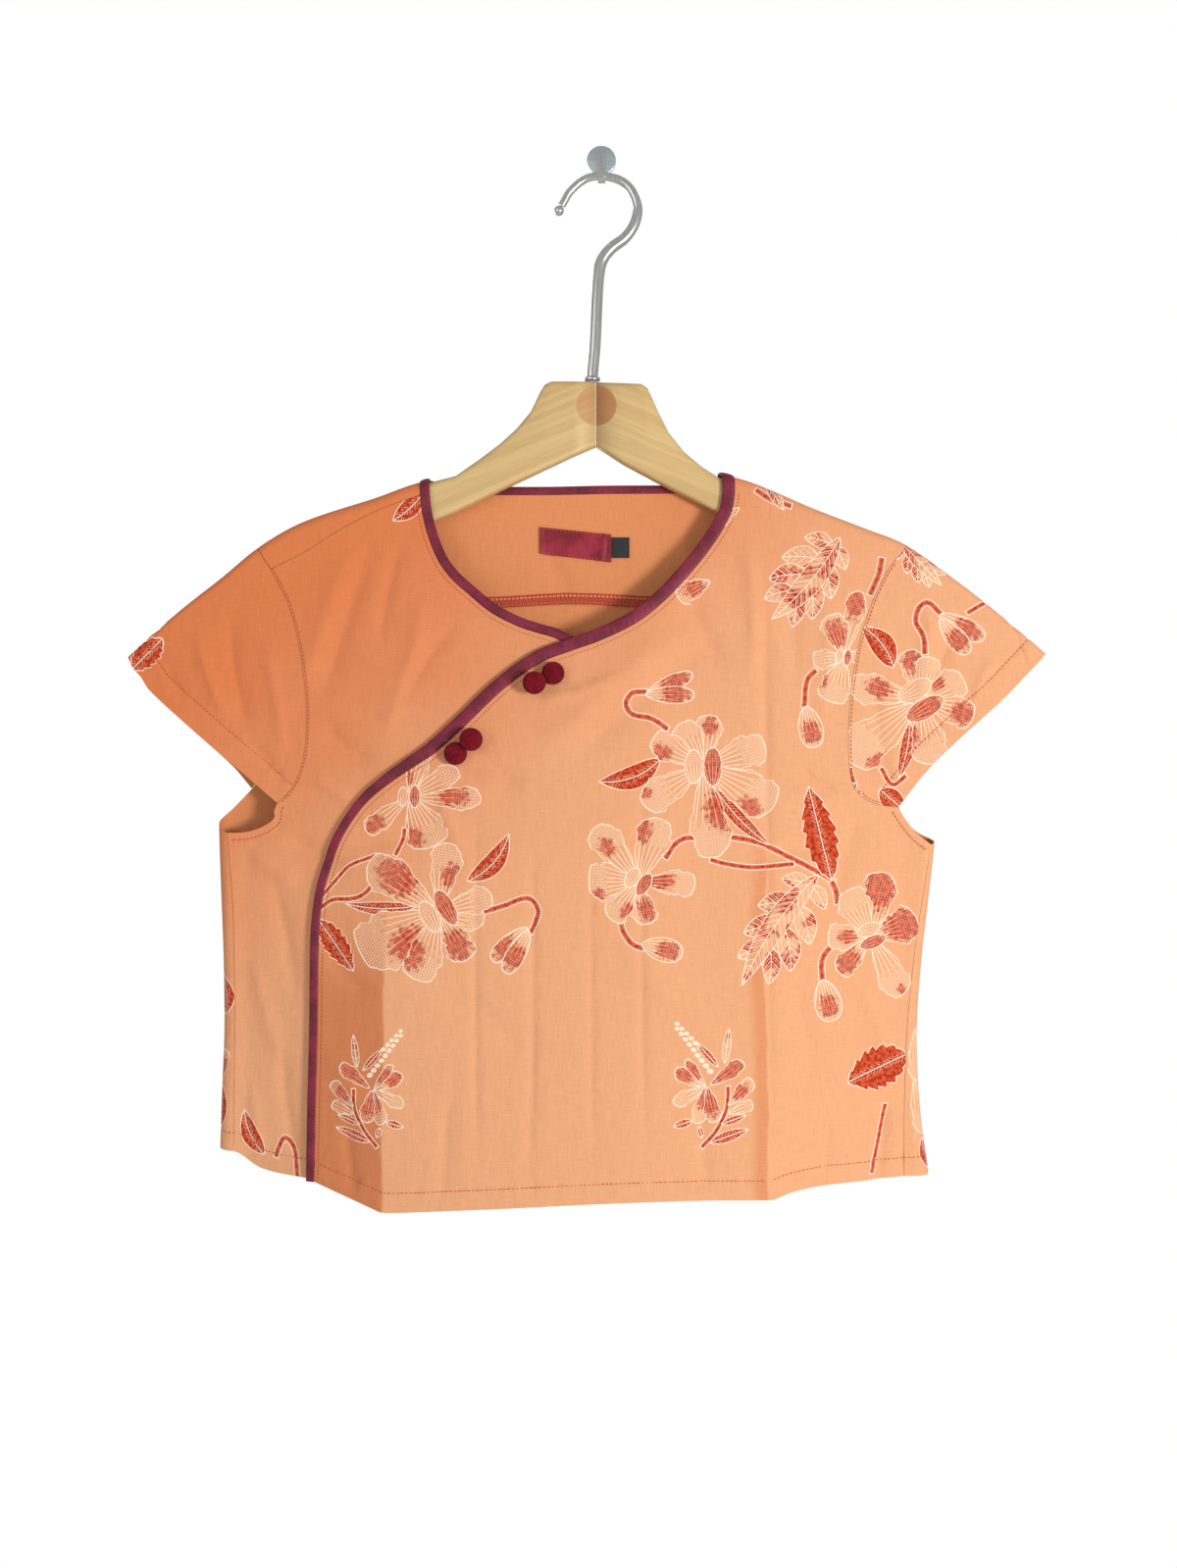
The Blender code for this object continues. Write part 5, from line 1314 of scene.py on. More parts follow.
# %% [markdown]
# ## The six pieces
#
# Two fronts, a yoke, a lower back and two cap sleeves. The overlap and the under front share the
# cloth's formulas but not their creases, because each layer drags on its own. The hidden sides
# carry a print of the same kind.

# %% Print for the back
def shifted(flowers, dx, dv):
    """The same flowers in another place, mirrored left to right."""
    moved = []
    for row in flowers:
        petals = tuple((180 - turn, *sizes) for turn, *sizes in row.petals)
        moved.append(Flower(-row.x + dx, row.v + dv, row.wide, row.long, 180 - row.turn, petals))
    return moved


def shifted_leaves(leaves, dx, dv):
    return [Leaf(leaf.kind, -leaf.x + dx, leaf.v + dv, 180 - leaf.turn, *leaf[4:6], -leaf.bow)
            for leaf in leaves]


def shifted_stems(stems, dx, dv):
    return [Stem(row.wide, [(-x + dx, v + dv) for x, v in row.points]) for row in stems]


BACK_SHIFT = (-10, -20)
back_print = spray(shifted(FLOWERS, *BACK_SHIFT), shifted_leaves(LEAVES, *BACK_SHIFT),
                   shifted_stems(STEMS, *BACK_SHIFT))
back_print += sprig(-75, -672, 79, True) + sprig(150, -668, 74, False)
back_print += [blade("dark", -267, -589, 85, 28, 13, 0.1),
               blade("petal", -266, -634, 95, 22, 12, spot=(0.4, 0.0, 0.4)),
               blade("dark", -267, -666, 92, 30, 13), blade("petal", 226, -598, 268, 36, 17),
               blade("petal", 229, -632, 268, 38, 16), blade("dark", 230, -694, 88, 22, 12)]
under_print = [blade("dark", -227, -682, 116, 33, 13, 0.1),
               stalk(Stem(3.4, [(-203, -696), (-206, -676), (-213, -670), (-219, -683)])),
               blade("dark", -121, -237, 222, 27, 13, 0.05)]
fragments = [blade("petal", 73, -296, 205, 25, 17, spot=(0.45, 0, 0.32)),
             blade("petal", 93, -246, 215, 18, 10), blade("pale", 112, -229, -60, 22, 8),
             stalk(Stem(3.2, [(191, -648), (187, -668), (181, -694)]))]

# %% Cut and hang
pieces = {}
for piece in (
    Piece("under_front", "front_under", hang_under, ring_of(
        shoulder, left_front_low, left_front_free, side_line(-1, -1, -0.4655, -0.6810),
        under_hem, hidden_edge, under_edge[::-1]),
        ((under_hem, HEM), (left_front_free, ARMHOLE_HEM)), under_print),
    Piece("overlapping_front", "front_overlap", hang_overlap, ring_of(
        top_edge, low_edge, overlap_hem, side_line(1, -1, -0.6975, -0.4735),
        right_front_free[::-1], right_front[::-1], other_side(back_shoulder[::-1])),
        ((overlap_hem, HEM), (right_front_free, ARMHOLE_HEM)), front_print + fragments),
    Piece("yoke", "back_yoke", hang_back, ring_of(
        yoke_seam, right_back_high[::-1], back_shoulder[::-1], neck_edge[::-1],
        other_side(under_high_edge), other_side(shoulder),
        other_side(left_front_high[::-1]), left_back_high), (), []),
    Piece("lower_back", "back_lower", hang_back, ring_of(
        yoke_seam[::-1], left_back_low, left_back_free, side_line(-1, 1, -0.4655, -0.6810),
        back_hem, side_line(1, 1, -0.6975, -0.4735), right_back_free[::-1],
        right_back_low[::-1]), ((back_hem, HEM),), back_print),
    Piece("cap_sleeve_left", "sleeve_left", hang_sleeve, ring_of(
        left_front_high, left_front_low, left_cuff, other_side(left_cuff_back),
        other_side(left_back_low[::-1]), other_side(left_back_high[::-1])),
        ((left_cuff, CUFF_HEM), (other_side(left_cuff_back), CUFF_HEM)), sleeve_print),
    Piece("cap_sleeve_right", "sleeve_right", hang_sleeve, ring_of(
        right_front, right_cuff, other_side(right_cuff_back), other_side(right_back_low[::-1]),
        other_side(right_back_high[::-1])),
        ((right_cuff, CUFF_HEM), (other_side(right_cuff_back), CUFF_HEM)), sleeve_print),
):
    hang_piece(piece)
    pieces[piece.name] = piece

# %% [markdown]
# ## Bias strips along the edges
#
# The neck and the overlap are bound with a strip of burgundy satin, cut on the bias so that it
# bends without puckering flat. It is folded over the raw edge and is a little fatter than the
# cloth. A bevelled curve would be a smooth tube. A section swept along the edge's own flat line
# stays on the cloth, and can carry the small slanting wrinkles that every bias strip shows.


# %% Helpers for closed pieces
def tube_faces(count, sides):
    """The faces of a tube of rings, closed at both ends."""
    faces = [(i * sides + k, i * sides + (k + 1) % sides, (i + 1) * sides + (k + 1) % sides,
              (i + 1) * sides + k) for i in range(count - 1) for k in range(sides)]
    return faces + [tuple(range(sides)), tuple(range((count - 1) * sides, count * sides))]


def made(name, points, faces, finish, slot, flat=None, node=None, angle=50):
    """A closed piece with its faces turned outwards, which rides on the garment."""
    mesh = bpy.data.meshes.new(name)
    mesh.from_pydata(np.asarray(points).tolist(), [], faces)
    work = bmesh.new()
    work.from_mesh(mesh)
    bmesh.ops.recalc_face_normals(work, faces=work.faces)
    work.to_mesh(mesh)
    work.free()
    if flat is not None:
        corner = np.empty(len(mesh.loops), int)
        mesh.loops.foreach_get("vertex_index", corner)
        map_of = mesh.uv_layers.new(name="flat")
        map_of.data.foreach_set("uv", (np.asarray(flat)[corner] * 10).astype("f").ravel())
    mesh.materials.append(finish)
    mesh.shade_smooth()
    mesh.set_sharp_from_angle(angle=math.radians(angle))
    item = bpy.data.objects.new(name, mesh)
    bpy.context.scene.collection.objects.link(item)
    if node:
        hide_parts(node)
    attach(item, "root")
    print(f"{name}: {len(mesh.polygons)} faces")
    return item


# %% Satin
satin, tree, shader = new_material("burgundy_satin", 0.52)
flat_map = add(tree, "ShaderNodeUVMap", uv_map="flat").outputs[0]
worn = noise(tree, flat_map, 6.0, detail=3.0)
weave(tree, shader, mixed(tree, ramp(tree, worn, 0.35, 0.65), (0.115, 0.004, 0.020, 1),
                          (0.215, 0.010, 0.042, 1)), 0.00012)
shader.inputs["Sheen Weight"].default_value = 0.08
shader.inputs["Sheen Tint"].default_value = (1.0, 0.45, 0.55, 1)
shader.inputs["Specular IOR Level"].default_value = 0.30
print("Satin is mixed")

# %% Bind the three edges
BINDING_RISE = 0.0005
BINDING_THICKNESS = 0.0024
BINDING_SIDES = 14
DIAGONAL = 0.7071


def bind(name, node, line, place, width):
    """A folded bias strip along a flat line, with slanting wrinkles."""
    fine = curve(line, 0.0009)
    wide = width(fine) if callable(width) else np.full(len(fine), width)
    along = lengths_of(fine)
    rings, flat = [], []
    for turn in (np.arange(BINDING_SIDES) + 0.5) * math.tau / BINDING_SIDES:
        c, s = math.cos(turn), math.sin(turn)
        across = math.copysign(abs(c) ** 0.75, c) * (wide / 2 + 0.0006)
        ripple = np.sin(along * 1350 + 2.4 * c + 1.6 * np.sin(along * 95)) * np.sin(along * 210 + 1)
        out = BINDING_RISE + math.copysign(abs(s) ** 0.8, s) * BINDING_THICKNESS / 2
        out = out + 0.00016 * ripple * abs(s)
        x, v = beside(fine, across).T
        rings.append(place(x, v) + outward(place, x, v) * out[:, None])
        flat.append(np.stack([along + across, along - across], -1) * DIAGONAL)
    made(name, np.stack(rings, 1).reshape(-1, 3), tube_faces(len(fine), BINDING_SIDES), satin,
         "burgundy_satin", np.stack(flat, 1).reshape(-1, 2), node, 75)


overlap_line = np.concatenate([overlap_top, overlap_rest[1:]])
under_line = np.concatenate([under_top, under_rest[1:]])
bind("overlap_binding", "piping_overlap_edge", overlap_line, hang_overlap, overlap_width)
bind("under_binding", "piping_under_neck", under_line, hang_under, UNDER_WIDTH)
bind("back_neck_binding", "piping_back_neck", neck, hang_back, NECK_WIDTH)

# %% [markdown]
# ## Stitches
#
# A topstitch is a row of short threads, each a bead that lies on the cloth and thins towards its
# ends, where it goes through. A bump would look flat from the side, so one bead of thread is
# modelled and laid out along the seam lines. The hems have a thin red-brown row, and a finer row
# runs beside each bias strip.

# %% One bead of thread
thread_red, tree, shader = new_material("red_brown_thread", 0.6)
at = add(tree, "ShaderNodeTexCoord").outputs["Object"]
weave_tone = noise(tree, at, 2600.0)
tree.links.new(mixed(tree, weave_tone, (0.40, 0.040, 0.014, 1), (0.64, 0.130, 0.045, 1)),
               shader.inputs["Base Color"])
twist = add(tree, "ShaderNodeBump", {"Height": weave_tone, "Distance": 0.0001, "Strength": 0.6})
tree.links.new(twist.outputs[0], shader.inputs["Normal"])
bpy.ops.object.select_all(action="DESELECT")
bpy.ops.mesh.primitive_uv_sphere_add(segments=6, ring_count=5, radius=1.0, location=(0, 0, 0))
bead = bpy.context.object
bpy.ops.object.mode_set(mode="EDIT")
bpy.ops.mesh.select_all(action="SELECT")
bpy.ops.transform.resize(value=(1.0, 1.0, 0.5))
bpy.ops.object.mode_set(mode="OBJECT")
bead_points = np.array([tuple(vertex.co) for vertex in bead.data.vertices])
bead_faces = [tuple(face.vertices) for face in bead.data.polygons]
bpy.data.objects.remove(bead)
print("A bead of thread has", len(bead_faces), "faces")


# %% Lay threads along lines
STITCH_LIFT = 1.05


def lay_threads(name, starts, ends, normals, radius, finish):
    """Beads of thread from each start to its end, as one piece."""
    run = ends - starts
    side = np.cross(run, normals)
    side /= np.linalg.norm(side, axis=-1, keepdims=True)
    up = np.cross(side, run)
    up /= np.linalg.norm(up, axis=-1, keepdims=True)
    x, y, z = bead_points.T
    points = ((starts + ends)[:, None] / 2 + z[None, :, None] * run[:, None]
              + radius * (x[None, :, None] * side[:, None] + y[None, :, None] * up[:, None]))
    faces = [tuple(i + number * len(bead_points) for i in face)
             for number in range(len(starts)) for face in bead_faces]
    made(name, points.reshape(-1, 3), faces, finish, "burgundy_satin")


def stitched(name, rows, pitch, share, radius):
    """Topstitch rows: each is a piece of cloth and a flat line on it."""
    starts, ends, normals = [], [], []
    for piece, line in rows:
        along = lengths_of(line)
        middles = np.arange(pitch / 2, along[-1] - pitch / 2, pitch)
        tips = []
        for spot in (middles - pitch * share / 2, middles + pitch * share / 2):
            x, v = np.interp(spot, along, line[:, 0]), np.interp(spot, along, line[:, 1])
            tips.append(face_of(piece, x, v, radius * STITCH_LIFT))
        starts.append(tips[0])
        ends.append(tips[1])
        normals.append(outward(piece.place, x, v))
    lay_threads(name, np.concatenate(starts), np.concatenate(ends), np.concatenate(normals),
                radius, thread_red)


front, under, lower, yoke = (pieces[name] for name in (
    "overlapping_front", "under_front", "lower_back", "yoke"))
cuff_left, cuff_right = pieces["cap_sleeve_left"], pieces["cap_sleeve_right"]
stitched("hem_stitches", (
    (front, beside(overlap_hem, -HEM)), (under, beside(under_hem, -HEM)),
    (lower, beside(back_hem, -HEM)), (cuff_left, beside(left_cuff, CUFF_HEM)),
    (cuff_left, other_side(beside(left_cuff_back, -CUFF_HEM))),
    (cuff_right, beside(right_cuff, -CUFF_HEM)),
    (cuff_right, other_side(beside(right_cuff_back, CUFF_HEM)))), 0.0029, 0.80, 0.00032)
stitched("armhole_stitches", (
    (under, beside(left_front_low, -0.0016)), (front, beside(right_front[9:], -0.0016)),
    (under, beside(left_front_free, -0.0050)), (front, beside(right_front_free, 0.0050)),
    (lower, beside(left_back_low, 0.0016)), (lower, beside(right_back_low, -0.0016))),
    0.0027, 0.78, 0.00028)
stitched("binding_stitches", (
    (front, beside(overlap_rest, -(overlap_width(overlap_rest) / 2 + 0.0034))),
    (under, beside(under_rest[:-6], UNDER_WIDTH / 2 + 0.0034)),
    (yoke, beside(neck, NECK_WIDTH / 2 + 0.0030))), 0.0023, 0.74, 0.00022)

# %% [markdown]
# ## The overlocked seam inside the neck
#
# Looking into the neck, the yoke's seam shows from its inner side. An overlock machine wraps the
# raw edges in a ladder of red thread: a dark chain on top, bars across, and a second chain below.
# It lies on a narrow band of doubled cloth.


# %% Overlock the yoke seam
def inner_of(x, v, lift):
    """Points on the inner side of the back, lifted towards the inside of the garment."""
    return hang_back(x, v) - outward(hang_back, x, v) * (CLOTH / 2 + lift)[:, None]


def on_seam(spots, shift):
    """Flat points at lengths along the yoke seam, moved up by the shift."""
    along = lengths_of(yoke_seam)
    x, v = np.interp(spots, along, yoke_seam[:, 0]), np.interp(spots, along, yoke_seam[:, 1])
    return x, v + shift


seam_length = lengths_of(yoke_seam)[-1]
band_spots = np.arange(0.004, seam_length - 0.004, 0.0015)
count = len(band_spots)
rings = []
for shift, lift in ((-0.0038, 0.0003), (-0.0038, 0.0010), (0.0026, 0.0010), (0.0026, 0.0003)):
    wavy = shift + 0.00025 * np.sin(band_spots * 260)
    x, v = on_seam(band_spots, wavy)
    rings.append(inner_of(x, v, np.full(len(x), lift)))
band_flat = np.stack([np.stack([band_spots, np.full(count, 0.006 * k)], -1) for k in range(4)], 1)
made("seam_band", np.stack(rings, 1).reshape(-1, 3), tube_faces(count, 4), inside,
     "peach_cotton", band_flat.reshape(-1, 2))


def seam_threads(name, first, first_shift, second, second_shift, radius, lift):
    """Threads between two rows of places along the seam."""
    ends = []
    for spots, shift in ((first, first_shift), (second, second_shift)):
        x, v = on_seam(spots, shift)
        ends.append(inner_of(x, v, np.full(len(x), lift)))
    normals = -outward(hang_back, *on_seam(first, first_shift))
    lay_threads(name, ends[0], ends[1], normals, radius, thread_overlock)


thread_overlock = recoloured(thread_red, "overlock_thread", (0.36, 0.012, 0.012, 1),
                             (0.62, 0.040, 0.022, 1))
rungs = np.arange(0.006, seam_length - 0.006, 0.0028)
TOP, MIDDLE, LOW = 0.0030, 0.0006, -0.0038
seam_threads("overlock_bars", rungs, TOP, rungs + 0.0008, LOW, 0.00042, 0.0013)
seam_threads("overlock_infill", rungs + 0.0016, MIDDLE, rungs + 0.0024, LOW, 0.00055, 0.0013)
seam_threads("overlock_middle", rungs - 0.0003, MIDDLE, rungs + 0.0028, MIDDLE, 0.00034, 0.0015)
seam_threads("overlock_top_chain", rungs - 0.0003, TOP, rungs + 0.0029, TOP, 0.00052, 0.0014)
seam_threads("overlock_low_chain", rungs - 0.0003, LOW, rungs + 0.0029, LOW, 0.00042, 0.0014)

# %% [markdown]
# ## Neck label and size tab
#
# Both are little pieces of woven ribbon, sewn into the yoke and left bare. The label is folded at
# its ends and has a soft crease near the right one. A grid of points on the yoke's own formula
# keeps them on the cloth, and a bulge between the stitches makes them lie like ribbon.

# %% Ribbon pieces
BLACK = (0.018, 0.018, 0.022, 1)
black_ribbon = recoloured(satin, "black_ribbon", BLACK, BLACK)
red_ribbon = recoloured(satin, "red_ribbon", (0.17, 0.005, 0.016, 1), (0.32, 0.016, 0.034, 1))
LABEL_THICKNESS = 0.0008
LABEL_GAP = 0.0004
LABEL_THREAD = 0.0003


def ribbon(name, node, corners, finish, slot, bulge, crease_at):
    """A sewn-on rectangle on the inner side of the back, from its flat corners."""
    wide, tall = 41, 13
    s, t = np.meshgrid(np.linspace(0, 1, wide), np.linspace(0, 1, tall))
    low_left, low_right, high_right, high_left = np.array(corners)
    flat = (low_left * ((1 - s) * (1 - t))[..., None] + low_right * (s * (1 - t))[..., None]
            + high_right * (s * t)[..., None] + high_left * ((1 - s) * t)[..., None])
    x, v = flat[..., 0].ravel(), flat[..., 1].ravel()
    rise = bulge * np.sin(math.pi * s) ** 0.5 * np.sin(math.pi * t) ** 0.6
    rise = rise + 0.0007 * np.exp(-((s - crease_at - 0.05 * t) / 0.035) ** 2)
    rise = rise + 0.0005 * smooth_step((0.045 - np.minimum(s, 1 - s)) / 0.02)
    away = LABEL_GAP + rise.ravel()
    near = inner_of(x, v, away + LABEL_THICKNESS)
    far = inner_of(x, v, away)
    count = wide * tall
    cells = [(j * wide + i, j * wide + i + 1, (j + 1) * wide + i + 1, (j + 1) * wide + i)
             for j in range(tall - 1) for i in range(wide - 1)]
    rim = (list(range(wide)) + [j * wide + wide - 1 for j in range(1, tall)]
           + [(tall - 1) * wide + i for i in range(wide - 2, -1, -1)]
           + [j * wide for j in range(tall - 2, 0, -1)])
    faces = cells + [tuple(i + count for i in cell) for cell in cells]
    faces += [(a, b, b + count, a + count) for a, b in zip(rim, rim[1:] + rim[:1])]
    item = made(name, np.concatenate([near, far]), faces, finish, slot,
                np.tile(np.stack([x, v], -1), (2, 1)), node)
    return item


LABEL = ((-0.0420, -0.2750), (0.0065, -0.2810), (0.0065, -0.2620), (-0.0420, -0.2570))
TAB = ((0.0072, -0.2780), (0.0190, -0.2780), (0.0190, -0.2640), (0.0072, -0.2640))
ribbon("bare_neck_label", "neck_label", LABEL, red_ribbon, "burgundy_satin", 0.0006, 0.86)
ribbon("bare_size_tab", "size_tab", TAB, black_ribbon, "black_tab", 0.0003, 2.0)
label_edge = []
for a, b in ((3, 2), (0, 1)):
    lean = 0.0011 if a == 0 else -0.0011
    label_edge.append(np.linspace(LABEL[a], LABEL[b], 19) + (0.0, lean))
stitch_from = np.concatenate([row[:-1] for row in label_edge])
stitch_to = np.concatenate([row[:-1] + (row[1:] - row[:-1]) * 0.6 for row in label_edge])
thread_lift = np.full(len(stitch_from), LABEL_GAP + LABEL_THICKNESS + LABEL_THREAD)
lay_threads("label_stitches", inner_of(*stitch_from.T, thread_lift),
            inner_of(*stitch_to.T, thread_lift), -outward(hang_back, *stitch_from.T),
            LABEL_THREAD, thread_red)

# %% [markdown]
# ## Covered ball buttons
#
# Each button is a small dome covered in crimson cloth, gathered behind and sewn on by a shank. One
# is modelled from a sphere: flattened, with its back faces drawn out to a shank and the gathers
# pressed into its rim. The other three are copies. In each pair one stands a little higher, so
# that it rests against its neighbour.

# %% Crimson cloth
crimson, tree, shader = new_material("crimson_cover", 0.78)
at = add(tree, "ShaderNodeTexCoord").outputs["Object"]
yarn = calc(tree, "ADD", noise(tree, at, 1.0, (3200.0, 900.0, 700.0)),
            noise(tree, at, 1.0, (700.0, 900.0, 3200.0)))
blotch = noise(tree, at, 240.0, detail=2.0)
deep = mixed(tree, ramp(tree, blotch, 0.35, 0.65), (0.150, 0.002, 0.008, 1),
             (0.255, 0.004, 0.014, 1))
tree.links.new(mixed(tree, ramp(tree, yarn, 0.70, 1.25), (0.090, 0.002, 0.008, 1), deep),
               shader.inputs["Base Color"])
ridges = add(tree, "ShaderNodeBump", {"Height": yarn, "Distance": 0.0003, "Strength": 0.7})
tree.links.new(ridges.outputs[0], shader.inputs["Normal"])
shader.inputs["Sheen Weight"].default_value = 0.06
shader.inputs["Specular IOR Level"].default_value = 0.10
print("Crimson cloth is mixed")

# %% One button, then its copies
BUTTON_RADIUS = 0.0077
BUTTON_HALF_DEPTH = 0.0047
bpy.ops.object.select_all(action="DESELECT")
bpy.ops.mesh.primitive_uv_sphere_add(segments=36, ring_count=20, radius=BUTTON_RADIUS,
                                     location=(0, 0, 0), rotation=(math.radians(90), 0, 0))
first_button = bpy.context.object
bpy.ops.object.transform_apply(location=False, rotation=True, scale=False)
bpy.ops.object.mode_set(mode="EDIT")
bpy.ops.mesh.select_all(action="SELECT")
bpy.ops.transform.resize(value=(1.0, BUTTON_HALF_DEPTH / BUTTON_RADIUS, 1.0))
bpy.ops.object.mode_set(mode="OBJECT")
for vertex in first_button.data.vertices:
    x, y, z = vertex.co
    back = min(1.0, max(0.0, (y + 0.0005) / BUTTON_HALF_DEPTH))
    gather = 1 + 0.035 * back * math.sin(13 * math.atan2(z, x) + 1.0)
    vertex.co = (x * gather, y, z * gather)
for face in first_button.data.polygons:
    face.select = face.center.y > BUTTON_HALF_DEPTH * 0.93
bpy.ops.object.mode_set(mode="EDIT")
bpy.ops.mesh.extrude_region_move(TRANSFORM_OT_translate={"value": (0.0, 0.0009, 0.0)})
bpy.ops.object.mode_set(mode="OBJECT")
bpy.ops.object.shade_smooth_by_angle(angle=math.radians(60))
first_button.data.materials.append(crimson)
for number in range(1, 5):
    low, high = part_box(f"button_{number}")
    button = first_button if number == 4 else first_button.copy()
    if number < 4:
        button.data = first_button.data.copy()
        bpy.context.scene.collection.objects.link(button)
    button.name = f"covered_button_{number}"
    middle = (low[0] + high[0]) / 2, low[1] + BUTTON_HALF_DEPTH, (low[2] + high[2]) / 2
    for vertex in button.data.vertices:
        vertex.co += Vector(middle)
        if vertex.co.y > low[1] + 2 * BUTTON_HALF_DEPTH:
            vertex.co.y = max(vertex.co.y, high[1])
    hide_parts(f"button_{number}")
    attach(button, "root")
print("Buttons are", round(BUTTON_RADIUS * 2000, 1), "mm across")

# %% [markdown]
# ## The wooden hanger
#
# The arms are pale birch, sawn along the grain, and meet in a joint under the hook. Their shape
# comes from the CAD solids, with the loose triangles merged and the facets smoothed. The grain
# runs along each arm, so its pattern is folded at the joint: the height that the noise reads is
# measured from a line that slopes with the arms. A plain darker round mark sits over the joint.

# %% Birch
birch, tree, shader = new_material("birch", 0.46)
place_of_wood = add(tree, "ShaderNodeSeparateXYZ",
                    {0: add(tree, "ShaderNodeTexCoord").outputs["Object"]})
wood_x, wood_y, wood_z = place_of_wood.outputs
from_joint = calc(tree, "ABSOLUTE", calc(tree, "ADD", wood_x, 0.0040))
over_slope = calc(tree, "ADD", wood_z, product(tree, from_joint, 0.42))
grain_place = add(tree, "ShaderNodeCombineXYZ", {0: wood_x, 1: wood_y, 2: over_slope}).outputs[0]
bands = noise(tree, grain_place, 1.0, (5.0, 160.0, 210.0), 3.0)
pores = noise(tree, grain_place, 1.0, (60.0, 1500.0, 1900.0), 2.0)
wood = mixed(tree, ramp(tree, bands, 0.34, 0.68), (0.56, 0.365, 0.145, 1), (0.64, 0.440, 0.190, 1))
wood = mixed(tree, product(tree, ramp(tree, pores, 0.60, 0.72), 0.40), wood,
             (0.36, 0.17, 0.055, 1))
mark_x, mark_z = calc(tree, "ADD", wood_x, 0.0036), calc(tree, "ADD", wood_z, 0.1766)
mark_reach = reach_from_zero(tree, mark_x, mark_z)
mark = product(tree, ramp(tree, mark_reach, 0.0139, 0.0133), ramp(tree, wood_y, -0.024, -0.026))
half = ramp(tree, wood_x, -0.0042, -0.0036)
mark = product(tree, mark, calc(tree, "ADD", 0.45, product(tree, half, 0.30)))
tree.links.new(mixed(tree, mark, wood, (0.42, 0.135, 0.030, 1)), shader.inputs["Base Color"])
fibre = add(tree, "ShaderNodeBump", {"Height": pores, "Distance": 0.0001, "Strength": 0.35})
tree.links.new(fibre.outputs[0], shader.inputs["Normal"])
print("Birch is mixed")


# %% Arms with merged faces
def pick(item):
    """Makes one piece the only selected and the active one."""
    bpy.ops.object.select_all(action="DESELECT")
    item.select_set(True)
    bpy.context.view_layer.objects.active = item


def refined(name, node, finish, soften=0.0):
    """A copy of a CAD solid with its triangles merged, its edges softened and its skin smoothed."""
    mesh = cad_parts[node].data.copy()
    mesh.materials.clear()
    mesh.materials.append(finish)
    item = bpy.data.objects.new(name, mesh)
    bpy.context.scene.collection.objects.link(item)
    pick(item)
    bpy.ops.object.mode_set(mode="EDIT")
    bpy.ops.mesh.select_all(action="SELECT")
    bpy.ops.mesh.remove_doubles(threshold=0.00001)
    bpy.ops.mesh.tris_convert_to_quads()
    bpy.ops.object.mode_set(mode="OBJECT")
    if soften:
        edge = item.modifiers.new("soft_edge", "BEVEL")
        edge.width = soften
        edge.segments = 3
        edge.limit_method = "ANGLE"
        edge.angle_limit = math.radians(50)
        bpy.ops.object.modifier_apply(modifier=edge.name)
    bpy.ops.object.shade_smooth_by_angle(angle=math.radians(45))
    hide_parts(node)
    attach(item, "root")
    print(f"{name}: {len(item.data.polygons)} faces")


refined("birch_arm_left", "hanger_arm_left", birch)
refined("birch_arm_right", "hanger_arm_right", birch)

# %% [markdown]
# ## Steel hook and wall disc
#
# The hanger's hook is a rod that is thin over the top and thicker at its foot, with a ball on its
# tip. It is drawn as a curve with a bevel, because a curve's radius can change from point to
# point. The disc on the wall is brushed and the bent strip takes the rod's polished steel; the fine
# scratches of both run one way.


# %% Steels
def steel(name, tint, dark, rough, scratch):
    """Steel with scratches that run along the directions given small scales."""
    material, tree, shader = new_material(name, rough)
    at = add(tree, "ShaderNodeTexCoord").outputs["Object"]
    scratches = noise(tree, at, 1.0, scratch, 3.0)
    cloudy = noise(tree, at, 60.0, detail=2.0)
    tree.links.new(mixed(tree, ramp(tree, scratches, 0.30, 0.70), dark, tint),
                   shader.inputs["Base Color"])
    rougher = calc(tree, "ADD", rough - 0.06, product(tree, cloudy, 0.14))
    tree.links.new(rougher, shader.inputs["Roughness"])
    lines_up = add(tree, "ShaderNodeBump", {"Height": scratches, "Distance": 0.00005, "Strength": 0.35})
    tree.links.new(lines_up.outputs[0], shader.inputs["Normal"])
    shader.inputs["Metallic"].default_value = 1.0
    return material


polished = steel("polished_rod", (0.66, 0.66, 0.64, 1), (0.52, 0.52, 0.50, 1), 0.22,
                 (900.0, 900.0, 40.0))
brushed = steel("brushed_disc", (0.62, 0.68, 0.71, 1), (0.46, 0.52, 0.56, 1), 0.34,
                (60.0, 900.0, 2400.0))
print("Two steels are mixed")

# %% The hook's rod and ball
ROD_TOP_RADIUS = 0.00265
ROD_FOOT_RADIUS = 0.00405
BALL_RADIUS = 0.0034
ROD_ROUTE = ((-0.0272, -0.0397), (-0.0250, -0.0358), (-0.0220, -0.0307), (-0.0156, -0.0244),
             (-0.0089, -0.0205), (-0.0010, -0.0194), (0.0060, -0.0201), (0.0135, -0.0228),
             (0.0200, -0.0288), (0.0244, -0.0407), (0.0225, -0.0515), (0.0160, -0.0613),
             (0.0066, -0.0685), (0.0005, -0.0763), (-0.0017, -0.0840), (-0.0031, -0.0996),
             (-0.0046, -0.1329), (-0.0063, -0.1529), (-0.0064, -0.1560))
route = curve(ROD_ROUTE, 0.0015)
rod_data = bpy.data.curves.new("hook_rod", "CURVE")
rod_data.dimensions = "3D"
rod_data.bevel_depth = ROD_TOP_RADIUS
rod_data.bevel_resolution = 6
rod_data.use_fill_caps = True
spline = rod_data.splines.new("POLY")
spline.points.add(len(route) - 1)
swell = smooth_step((np.linspace(0, 1, len(route)) - 0.12) / 0.50)
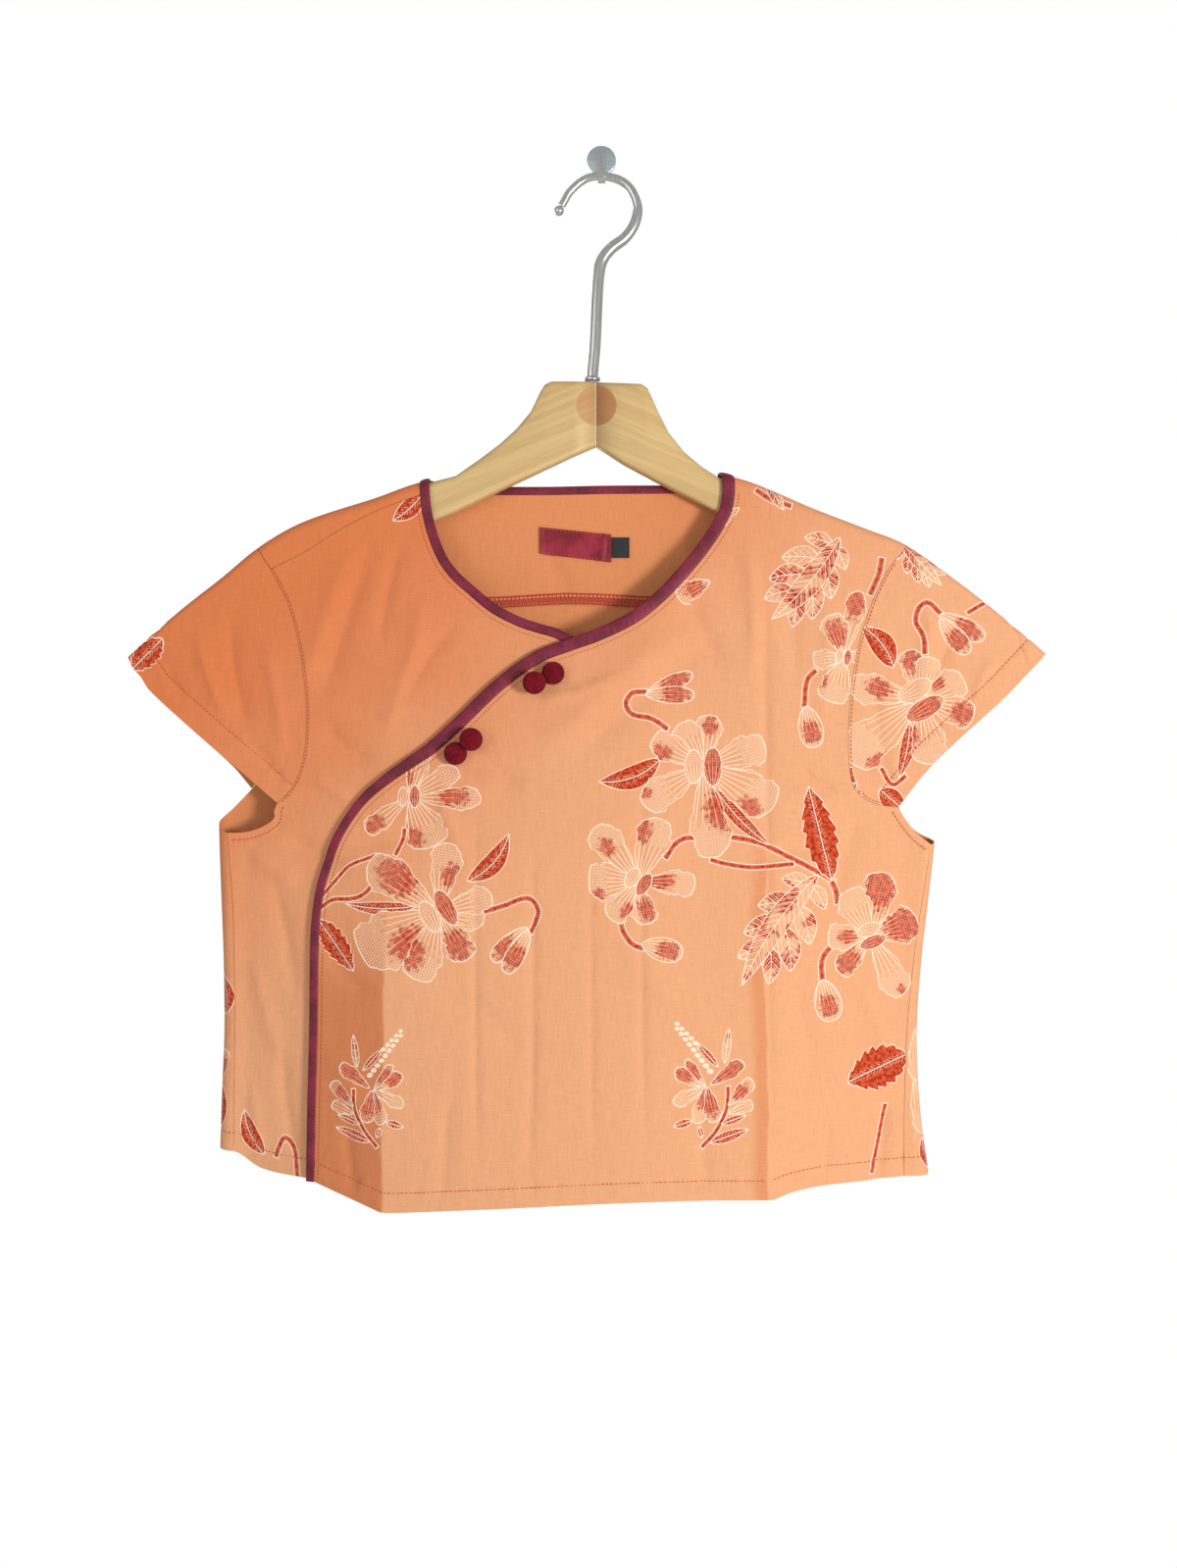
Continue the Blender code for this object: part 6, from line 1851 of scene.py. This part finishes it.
for point, (x, z), share in zip(spline.points, route, swell):
    point.co = (x, HANGER_PLANE, z, 1.0)
    point.radius = 1 + (ROD_FOOT_RADIUS / ROD_TOP_RADIUS - 1) * share
rod = bpy.data.objects.new("hook_rod", rod_data)
bpy.context.scene.collection.objects.link(rod)
pick(rod)
bpy.ops.object.convert(target="MESH")
rod = bpy.context.object
bpy.ops.object.shade_smooth_by_angle(angle=math.radians(50))
rod.data.materials.clear()
rod.data.materials.append(polished)
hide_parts("hanger_hook")
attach(rod, "root")
print("The rod is", round(float(lengths_of(route)[-1]), 3), "m long")


# %% Ball, collar, disc and strip
def turned_steel(name, node, kind, finish, soften, **sizes):
    """A ball or drum at the middle of its CAD solid, with softened edges."""
    low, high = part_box(node)
    middle = [(a + b) / 2 for a, b in zip(low, high)]
    bpy.ops.object.select_all(action="DESELECT")
    kind(location=middle, **sizes)
    item = bpy.context.object
    item.name = name
    bpy.ops.object.transform_apply(location=True, rotation=True, scale=True)
    if soften:
        bpy.ops.object.mode_set(mode="EDIT")
        bpy.ops.mesh.select_all(action="SELECT")
        bpy.ops.mesh.bevel(offset=soften, segments=3, affect="EDGES")
        bpy.ops.object.mode_set(mode="OBJECT")
    bpy.ops.object.shade_smooth_by_angle(angle=math.radians(40))
    item.data.materials.append(finish)
    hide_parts(node)
    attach(item, "root")
    print(f"{name}: {len(item.data.polygons)} faces")


def drum_sizes(node, axis):
    """Radius and depth of a CAD drum, from its box."""
    low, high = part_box(node)
    spans = [b - a for a, b in zip(low, high)]
    return {"radius": spans[0] / 2, "depth": spans[axis], "vertices": 64}


turned_steel("ball_tip", "hook_ball", bpy.ops.mesh.primitive_uv_sphere_add, polished, 0.0,
             radius=BALL_RADIUS, segments=32, ring_count=20)
turned_steel("rod_collar", "hook_collar", bpy.ops.mesh.primitive_cylinder_add, polished, 0.0006,
             **drum_sizes("hook_collar", 2))
turned_steel("hook_disc", "wall_disc", bpy.ops.mesh.primitive_cylinder_add, brushed, 0.0005,
             rotation=(math.radians(90), 0, 0), **drum_sizes("wall_disc", 1))
refined("bent_strip", "wall_finger", polished, 0.0003)
